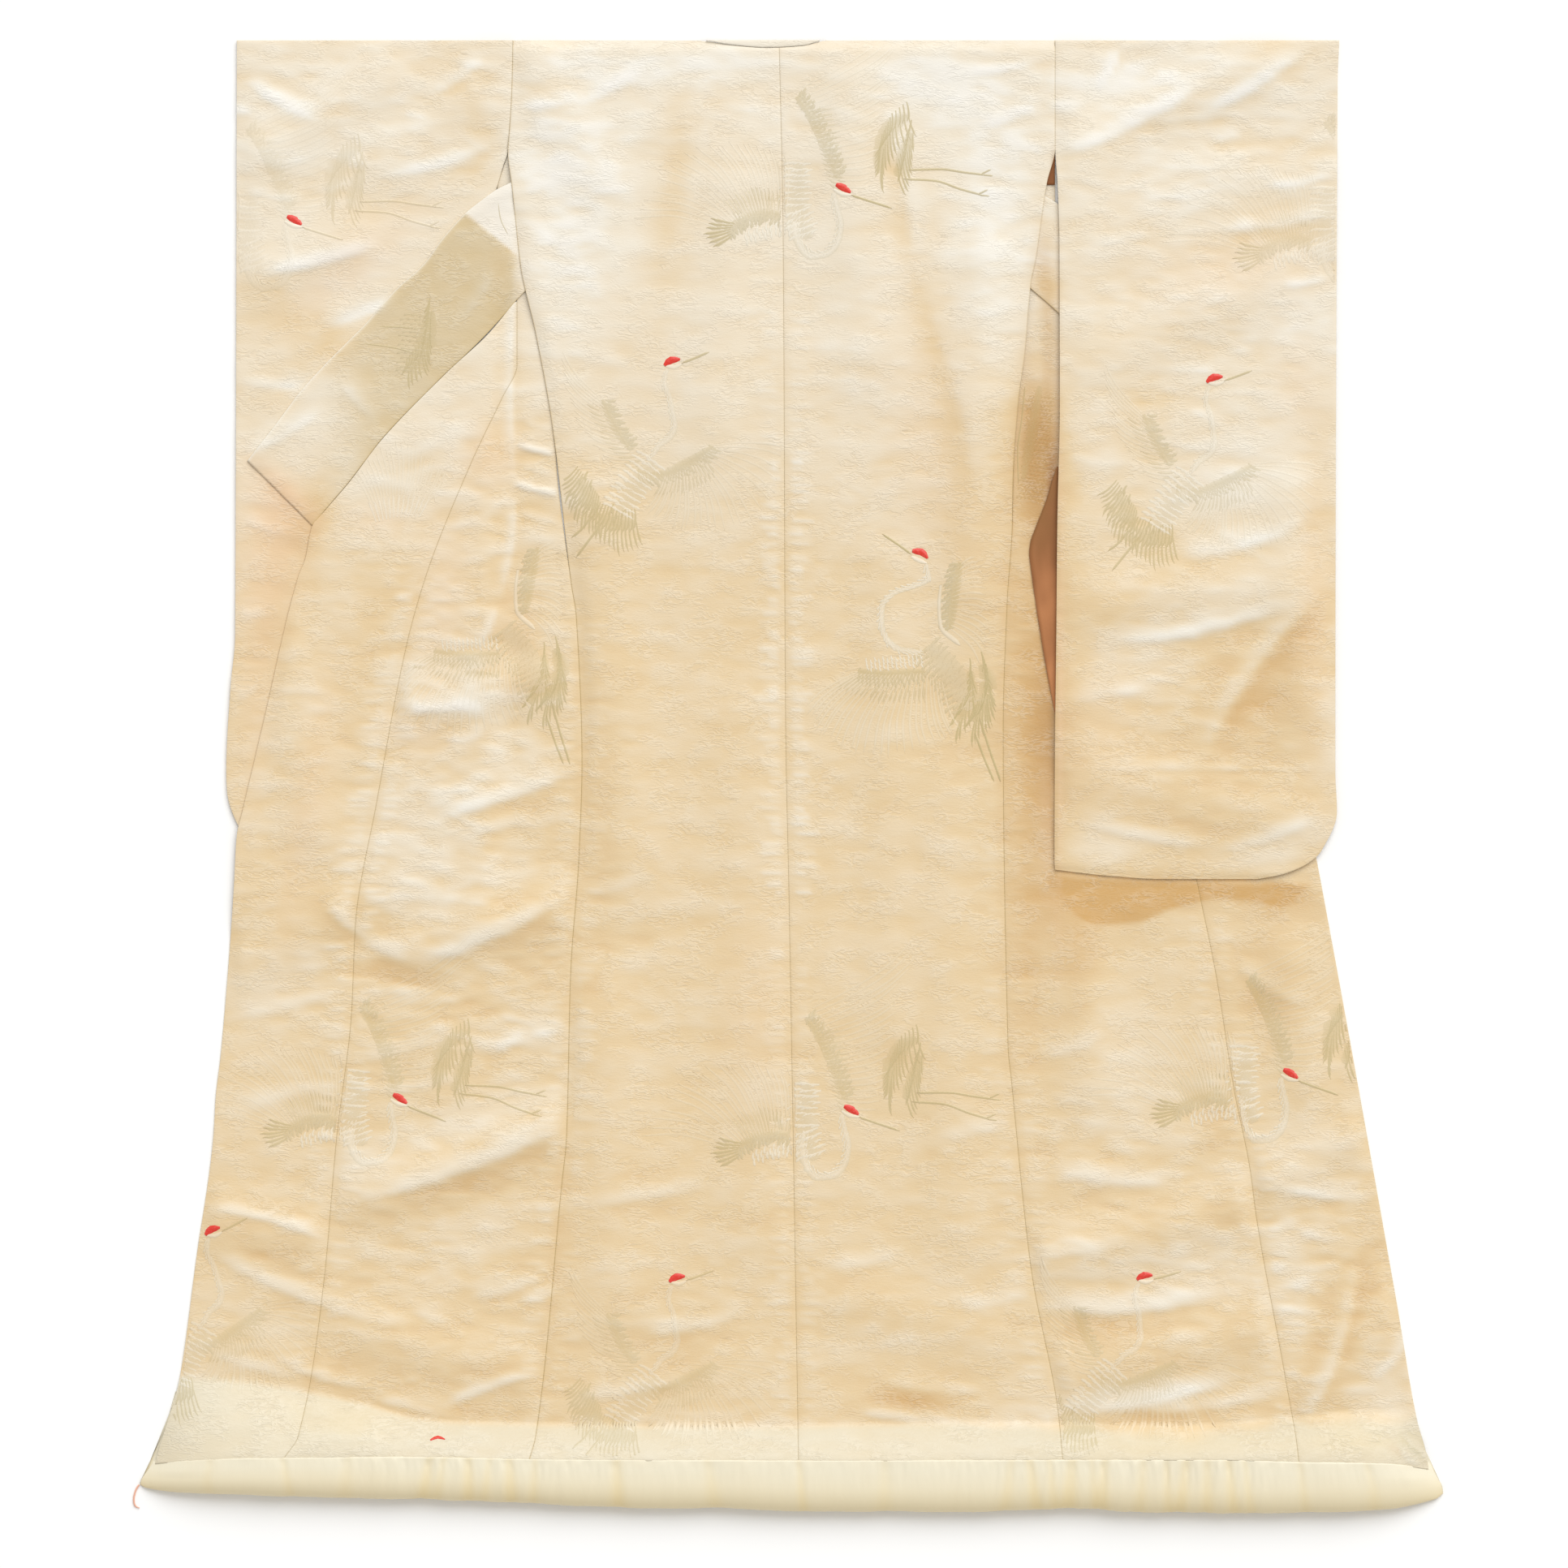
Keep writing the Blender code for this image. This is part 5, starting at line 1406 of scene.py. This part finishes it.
# a limb with a soft wash under short strokes laid slantwise
def limb(bone, width, ink, lean, seed, size=13):
    made = [stroke(bone, width, 0.22, *inks["wash" if ink == "scale" else "washSage"], "patch", 5)]
    return made + scales(bone, width * 0.55, 2, size, ink, lean, seed, 0.36)


# a tail: a soft patch with two rows of hanging feathers, the second set off from the first
def tail(bone, half, count, angles, seed, size=1.0):
    bone = np.asarray(bone, float)
    made = [stroke(bone + np.array([0, 8]), half, 0.16, *inks["washSage"], "patch", 7)]
    made += fan(bone - np.array([0, 8]), count, angles, [24 * size, 30 * size, 26 * size], 2.5,
                "plume", 12, seed, 0.35)
    made += fan(bone + np.array([2, 8]), count - 2, angles, [28 * size, 36 * size, 28 * size], 2.3,
                "plume", -8, seed + 50, 0.35)
    return made


def foldedWing():
    made = [stroke([(0, -30), (-10, 30), (-20, 84)], 9, 0.22, *inks["washSage"], "patch", 5)]
    made += scales([(6, -20), (0, 50), (-8, 110)], 15, 7, 6.5, "brown", 62, 36, 0.75, 0.22)
    return made + [stroke([(-18, -30), (-22, 10), (-27, 50), (-26, 90)], 1.1, 0.4, *inks["leg"], "line")]


def collarFigure():
    made = tail([(4, -44), (2, -20), (-6, 6), (-24, 30)], 15, 15, [100, 92, 84, 96], 61, 0.8)
    made += scales([(-8, -34), (-14, 40)], 16, 4, 9, "dull", 78, 62)
    made += [stroke([(-65, -17), (-40, -17), (-17, -15)], 1.0, 0.4, *inks["leg"], "line"),
             stroke([(-84, 3), (-44, 8), (-2, 19)], 1.0, 0.4, *inks["leg"], "line"),
             stroke([(86, -188), (88, -170), (91, -150), (100, -131)], 0.9, 0.4, *inks["leg"], "line")]
    return made


def beakAndHead(beak, cheek, crown):
    return [stroke(cheek, 3.4, 0.45, *inks["head"], "blob", 5), stroke(beak, 1.7, 0.6, *inks["beak"], "line"),
            stroke(crown, 4.7, 0.85, *inks["crown"], "blob", 5)]


def neckBand(points, half, seed):
    made = [stroke(points, half, 0.22, *inks["neck"], "band", 5)]
    return made + scales(points, half * 0.5, 2, 6.0, "scale", 24, seed, 0.62, 0.42)


def craneHeadDown():
    made = fan([(-20, -6), (-28, -44), (-40, -84), (-50, -124)], 21, [14, -6, -14, -27], [54, 74, 100, 158],
               2.5, "quill", -9, 2)
    made += fan([(-18, -6), (-30, -50), (-44, -96)], 16, [40, 22, 6], [26, 30, 34], 2.5, "dull", -10, 3)
    made += limb([(-8, -12), (-20, -44), (-38, -84), (-58, -112)], 8, "covert", 66, 4)
    made += [stroke([(-42, 62), (-56, 26), (-54, -30)], 17, 0.22, *inks["wash"], "patch", 7)]
    made += scales([(-42, 58), (-54, 22), (-52, -34)], 15, 6, 12, "scale", -108, 7, 0.6)
    made += tail([(78, -98), (60, -84), (48, -58), (44, -30)], 15, 15, [76, 88, 98, 90], 5)
    made += tail([(84, -76), (76, -50), (66, -22)], 11, 10, [96, 84, 76], 6, 0.9)
    for leg in ([(80, -22), (120, -23), (150, -19), (176, -16)], [(74, -11), (112, -9), (146, 2), (172, 9)]):
        made += [stroke(leg, 1.7, 0.55, *inks["leg"], "line")]
        x, y = leg[-1]
        made += [stroke([(x - 6, y - 1), (x + 6, y - 7)], 1.3, 0.5, *inks["leg"], "line"),
                 stroke([(x - 4, y), (x + 8, y + 1)], 1.2, 0.5, *inks["leg"], "line")]
    made += neckBand([(-12, 6), (-8, 24), (-3, 44), (-6, 64), (-22, 82), (-40, 84), (-54, 70), (-60, 48),
                      (-58, 30)], 6.5, 30)
    made += fan([(-72, 34), (-100, 30), (-126, 38), (-142, 54)], 24, [282, 262, 238, 200],
                [78, 92, 108, 116], 2.5, "quill", -12, 8)
    made += fan([(-74, 36), (-102, 33), (-128, 42)], 16, [282, 262, 240], [30, 36, 36], 2.4, "dull", -8, 9)
    made += limb([(-70, 34), (-98, 30), (-124, 38), (-142, 52)], 8, "covert", -62, 10)
    made += fan([(-134, 44), (-140, 52), (-138, 60)], 7, [188, 168, 146], [30, 34, 26], 3.0,
                "plume", 4, 11, 0.5)
    made += scales([(-62, 46), (-92, 48), (-122, 58)], 5, 2, 10, "scale", -80, 12)
    return made + beakAndHead([(9, 9), (34, 17), (60, 25)], [(-12, 2), (0, 8), (10, 9)],
                              [(-9, -4), (0, 0), (9, 6)])


def craneHeadUp():
    made = fan([(-30, 128), (-58, 100), (-76, 70), (-88, 44)], 18, [172, 190, 206, 222], [44, 56, 66, 76],
               2.3, "quill", 8, 12)
    made += fan([(-34, 126), (-62, 98), (-82, 60)], 12, [160, 176, 192], [22, 24, 24], 2.3, "dull", 8, 13)
    made += limb([(-54, 104), (-68, 84), (-78, 64), (-86, 46)], 7.5, "covert", 120, 14)
    made += fan([(-8, 140), (14, 132), (38, 116), (54, 102)], 24, [112, 80, 46, -8], [50, 74, 96, 90],
                2.6, "quill", 10, 15)
    made += fan([(-10, 142), (14, 134), (40, 116)], 15, [112, 84, 56], [26, 32, 30], 2.4, "dull", 8, 16)
    made += limb([(-44, 134), (-14, 138), (18, 124), (50, 104)], 8, "covert", 58, 17)
    made += [stroke([(-22, 124), (-46, 156), (-64, 184)], 18, 0.22, *inks["wash"], "patch", 7)]
    made += scales([(-20, 120), (-44, 154), (-64, 188)], 17, 7, 12, "scale", 82, 18, 0.6)
    made += tail([(-116, 136), (-104, 152), (-90, 172)], 13, 13, [128, 112, 98], 19, 1.25)
    made += tail([(-88, 180), (-68, 190), (-46, 188)], 11, 13, [112, 96, 82], 20, 1.1)
    made += scales([(-112, 136), (-96, 150)], 7, 2, 13, "plume", 60, 21)
    made += scales([(-78, 178), (-56, 188)], 6, 2, 12, "plume", 80, 22)
    made += [stroke([(-86, 198), (-100, 216), (-118, 240)], 1.7, 0.55, *inks["leg"], "line"),
             stroke([(-100, 190), (-110, 204), (-124, 216)], 1.7, 0.55, *inks["leg"], "line")]
    made += neckBand([(-6, 8), (-9, 26), (-2, 44), (1, 62), (4, 78), (-2, 92), (-16, 102),
                      (-24, 116)], 4.8, 31)
    return made + beakAndHead([(12, 1), (30, -6), (46, -13)], [(-8, 4), (2, 6), (12, 2)],
                              [(-9, 4), (-1, -3), (10, -4)])


def craneTurned(head=True):
    made = fan([(44, 18), (38, 54), (36, 92)], 16, [-46, -14, 34], [30, 44, 56], 2.4, "quill", 14, 22)
    made += limb([(48, 10), (42, 44), (36, 92)], 8, "covert", 62, 23)
    made += [stroke([(24, 38), (22, 62), (24, 88), (48, 112)], 3.6, 0.5, *inks["neck"], "band", 5)]
    made += [stroke([(10, 112), (40, 150), (60, 192)], 19, 0.22, *inks["wash"], "patch", 7)]
    made += scales([(8, 110), (38, 148), (58, 190)], 18, 7, 12, "dull", 72, 24, 0.6)
    made += tail([(74, 128), (82, 150), (78, 176), (64, 198)], 13, 15, [74, 84, 94, 104], 25, 1.1)
    made += tail([(60, 136), (62, 164), (46, 198)], 11, 10, [84, 94, 108], 26)
    made += fan([(-80, 146), (-56, 148), (-28, 148), (2, 146), (26, 158)], 27, [155, 140, 118, 98, 80],
                [76, 104, 108, 92, 62], 2.7, "quill", -10, 27)
    made += fan([(-80, 148), (-46, 150), (2, 148)], 19, [146, 118, 92], [32, 36, 34], 2.5, "dull", -6, 28)
    made += limb([(-78, 144), (-44, 148), (4, 144)], 8, "covert", 84, 29)
    made += scales([(-70, 134), (-40, 131), (2, 127)], 6, 3, 7, "scale", 70, 30, 0.7)
    made += [stroke([(72, 202), (84, 240), (98, 280)], 1.6, 0.55, *inks["leg"], "line"),
             stroke([(66, 220), (78, 252), (90, 280)], 1.6, 0.55, *inks["leg"], "line")]
    if head:
        made += neckBand([(6, 12), (10, 30), (-4, 38), (-34, 48), (-48, 64), (-49, 86), (-40, 108),
                          (-24, 118), (0, 120)], 5.0, 32)
        made += beakAndHead([(-12, 0), (-30, -13), (-48, -25)], [(-12, 3), (-2, 8), (7, 11)],
                            [(-11, -4), (0, -3), (8, 5)])
    return made


def wingOnly():
    made = fan([(-6, 0), (18, -10), (46, -10)], 22, [246, 274, 306], [66, 86, 66], 2.3, "quill", -8, 33)
    return made + fan([(-6, 4), (18, -4), (46, -6)], 13, [250, 274, 300], [26, 30, 28], 2.3, "scale", -6, 34)


# the edge of a crown that a fold hides
def crownSliver():
    return [stroke([(-9, 2), (0, -1.5), (9, 1)], 1.9, 0.85, *inks["crown"], "blob", 5)]


designs = {"down": craneHeadDown(), "up": craneHeadUp(), "turned": craneTurned(),
           "turnedBody": craneTurned(False), "wing": wingOnly(), "folded": foldedWing(),
           "collar": collarFigure(), "sliver": crownSliver()}

# Where the figures lie. Columns: figure, crown right, crown down, size, turn in degrees, strength
# of its dyes, panels.
figures = [
    ("down", 1039, 232, 1.0, 0, 1.45, ("back_left", "back_right")),
    ("down", 1049, 1367, 1.0, 1, 1.2, ("back_left", "back_right")),
    ("down", 363, 271, 1.0, 0, 0.55, ("sleeve_left_back",)),
    ("down", 493, 1353, 0.98, 4, 1.1, ("okumi_left", "front_left")),
    ("down", 1590, 1322, 1.0, 2, 1.2, ("front_right", "okumi_right")),
    ("down", 1690, 262, 1.0, 0, 0.8, ("sleeve_right_back",)),
    ("up", 828, 447, 1.0, 0, 1.2, ("back_left",)),
    ("up", 834, 1576, 0.98, 2, 0.8, ("back_left",)),
    ("up", 1496, 468, 1.0, 2, 1.2, ("sleeve_right_back",)),
    ("up", 1410, 1574, 0.96, 6, 1.0, ("front_right",)),
    ("up", 262, 1517, 0.98, -6, 0.9, ("okumi_left", "front_left")),
    ("sliver", 540, 1771, 1.0, 0, 1.0, ("front_left",)),
    ("turned", 1135, 683, 1.0, 0, 1.5, ("back_right",)),
    ("turnedBody", 616, 664, 0.98, 2, 1.3, ("front_left",)),
    ("folded", 1281, 506, 1.0, 0, 0.9, ("front_right",)),
    ("collar", 526, 420, 1.0, 0, 1.0, ("collar_left",)),
    ("wing", 470, 640, 1.0, 4, 1.0, ("okumi_left", "front_left")),
]


def inPanel(name, right, down, inset):
    if name == "collar_left":
        table = np.asarray(collarLeft, float)
        free = np.interp(right, table[::-1, 0], table[::-1, 1])
        sewn = np.interp(right, table[::-1, 2], table[::-1, 3])
        return (down > free + inset * 1.5) & (down < sewn - inset * 1.5) & (right > 330) & (right < 628)
    spec = panels[name]
    inside = (right > along(spec["left"], down) + inset) & (right < along(spec["right"], down) - inset)
    low = along(hemSeam, right) if spec.get("hem") else spec.get("bottom", 0)
    return inside & (down > spec["top"] + 4) & (down < low - 3)


def figureTop(name, right, down):
    if name == "collar_left":
        under = collarLeftUnder(right, down) + foldHeight(name, right, down)
        return under + layers["bodyWall"] + readChart(relief, right, down)
    return panelTop(name, right, down)


figureLook = {"inset": 1.6, "sink": 0.14, "cell": 7.5, "lineCell": 5.0, "overlay": 0.10}
# How a ribbon's width changes from its root to its tip
tapers = {
    "feather": lambda u: np.minimum(1, 0.5 + 0.7 * u) * np.sqrt(np.clip((1 - u) / 0.24, 0, 1)),
    "line": lambda u: np.sqrt(np.clip(np.minimum(u, 1 - u) / 0.06, 0, 1)),
    "band": lambda u: np.minimum(1, 0.62 + 0.5 * u) * np.sqrt(np.clip((1 - u) / 0.08 + 0.05, 0, 1)),
    "blob": lambda u: np.sin(math.pi * (0.12 + 0.82 * u)) ** 0.7,
    "patch": lambda u: np.sin(math.pi * (0.08 + 0.84 * u)) ** 0.6,
}


# a ribbon's points in its crane's millimetres: across its smooth curve, as wide as its taper says
def ribbon(ink, size, look):
    route = np.asarray(ink["points"], float)
    run = runOf(route)
    steps = max(4, min(34, int(run[-1] * size / look["cell"])))
    if ink["shape"] in ("line", "band"):
        steps = max(6, int(run[-1] * size / look["lineCell"]))
    u = np.linspace(0, 1, steps + 1)
    cx, cy = (along(np.column_stack([run, route[:, k]]), u * run[-1]) for k in (0, 1))
    tx, ty = np.gradient(cx), np.gradient(cy)
    long = np.hypot(tx, ty) + 1e-9
    across = np.linspace(-1, 1, ink["across"])[None, :]
    half = (ink["half"] * np.clip(tapers[ink["shape"]](u), 0, 1))[:, None]
    x = cx[:, None] - (ty / long)[:, None] * across * half
    y = cy[:, None] + (tx / long)[:, None] * across * half
    return x, y, across


# the ground under a ribbon, with its painted shade and light, dyed from its middle to its edges
def ribbonColour(name, right, down, ink, strength, across):
    ground = collarGround(right, down, 1) if name == "collar_left" else groundColourAndShade(right, down)
    edge = np.abs(across) ** 1.5 * np.ones_like(right)
    (middleDye, middleShare), (edgeDye, edgeShare) = ink["middle"], ink["edge"]
    if middleDye == "crown":
        return mixColour(ground, dyesAndShades["crown"], np.ones_like(right))
    colour = mixColour(ground, dyesAndShades[middleDye], strength * middleShare * (1 - edge))
    return mixColour(colour, dyesAndShades[edgeDye], strength * edgeShare * edge)


# ribbons laid on a panel and cut off at its edges, each domed across
def makeFigures(name, look):
    allPoints, allQuads, allColours, total = [], [], [], 0
    for kind, crownRight, crownDown, size, turn, strength, on in figures:
        if name not in on:
            continue
        a = math.radians(turn)
        for ink in designs[kind]:
            x, y, across = ribbon(ink, size, look)
            right = crownRight + size * (x * math.cos(a) - y * math.sin(a))
            down = crownDown + size * (x * math.sin(a) + y * math.cos(a))
            dome = ink["lift"] * (1 - np.abs(across) ** 2) - look["sink"] * np.abs(across) ** 4
            overlay = look["overlay"] if ink["shape"] in ("line", "blob") else 0.0
            height = figureTop(name, right, down) + dome + overlay
            inside = inPanel(name, right, down, look["inset"])
            quads = gridQuads(np.arange(x.size).reshape(x.shape))
            quads = quads[inside.ravel()[quads].all(axis=1)]
            if not len(quads):
                continue
            used, packed = np.unique(quads, return_inverse=True)
            colour = ribbonColour(name, right, down, ink, strength, across)
            allPoints.append(toWorld(right, down, height).reshape(-1, 3)[used])
            allColours.append(colour.reshape(-1, 3)[used])
            allQuads.append(packed.reshape(-1, 4) + total)
            total += len(used)
    points, quads = np.concatenate(allPoints), np.concatenate(allQuads)
    # a ribbon that was drawn the other way round faces down, so its corners are turned
    p = points[quads]
    normal = np.cross(p[:, 2] - p[:, 0], p[:, 3] - p[:, 1])[:, 2]
    quads = np.where((normal < 0)[:, None], quads[:, ::-1], quads)
    piece = newMesh("figures_" + name, points, quads)
    paint(piece, np.concatenate(allColours))
    piece.data.materials.append(figureThreads)
    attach(piece, "root")
    print("figures on", name, "faces", len(quads))


for figuredName in ("back_left", "back_right", "front_left", "front_right", "okumi_left", "okumi_right",
                    "sleeve_left_back", "sleeve_right_back", "collar_left"):
    makeFigures(figuredName, figureLook)


# Floor, light and camera
stageLook = {"floor": (0.945, 0.955, 0.975), "sky": 0.62, "skyTint": (1.0, 0.975, 0.93, 1), "sun": 2.17,
             "sunHeight": 44.0, "sunTurn": 22.0, "soft": 52.0, "cameraHeight": 12.0,
             "frameWidth": 1.932, "frameMiddle": (966.0, 966.0)}


def makeStage(look):
    mesh = bpy.data.meshes.new("floor")
    mesh.from_pydata([(-9, -9, -0.0004), (9, -9, -0.0004), (9, 9, -0.0004), (-9, 9, -0.0004)], [],
                     [(0, 1, 2, 3)])
    floor = placed("floor", mesh)
    paper = Cloth("floor_paper")
    mesh.materials.append(paper.surface(Base_Color=(*look["floor"], 1), Roughness=0.9,
                                        Specular_IOR_Level=0.1))
    world = bpy.data.worlds.new("soft_sky")
    world.use_nodes = True
    world.node_tree.nodes["Background"].inputs["Color"].default_value = look["skyTint"]
    world.node_tree.nodes["Background"].inputs["Strength"].default_value = look["sky"]
    bpy.context.scene.world = world
    lamp = bpy.data.lights.new("window_light", "SUN")
    lamp.energy = look["sun"]
    lamp.angle = math.radians(look["soft"])
    lamp.color = (1.0, 0.995, 0.975)
    sun = placed("window_light", lamp)
    sun.rotation_euler = (math.radians(-(90 - look["sunHeight"])), 0, math.radians(-look["sunTurn"]))
    eye = bpy.data.cameras.new("camera")
    eye.sensor_width = 36.0
    eye.lens = 36.0 * look["cameraHeight"] / look["frameWidth"]
    eye.clip_end = 60.0
    camera = placed("camera", eye)
    right, down = look["frameMiddle"]
    camera.location = ((right - sheetMiddle[0]) * mm, (sheetMiddle[1] - down) * mm, look["cameraHeight"])
    bpy.context.scene.camera = camera
    bpy.context.scene.view_settings.view_transform = "Standard"


makeStage(stageLook)
print("stage set")
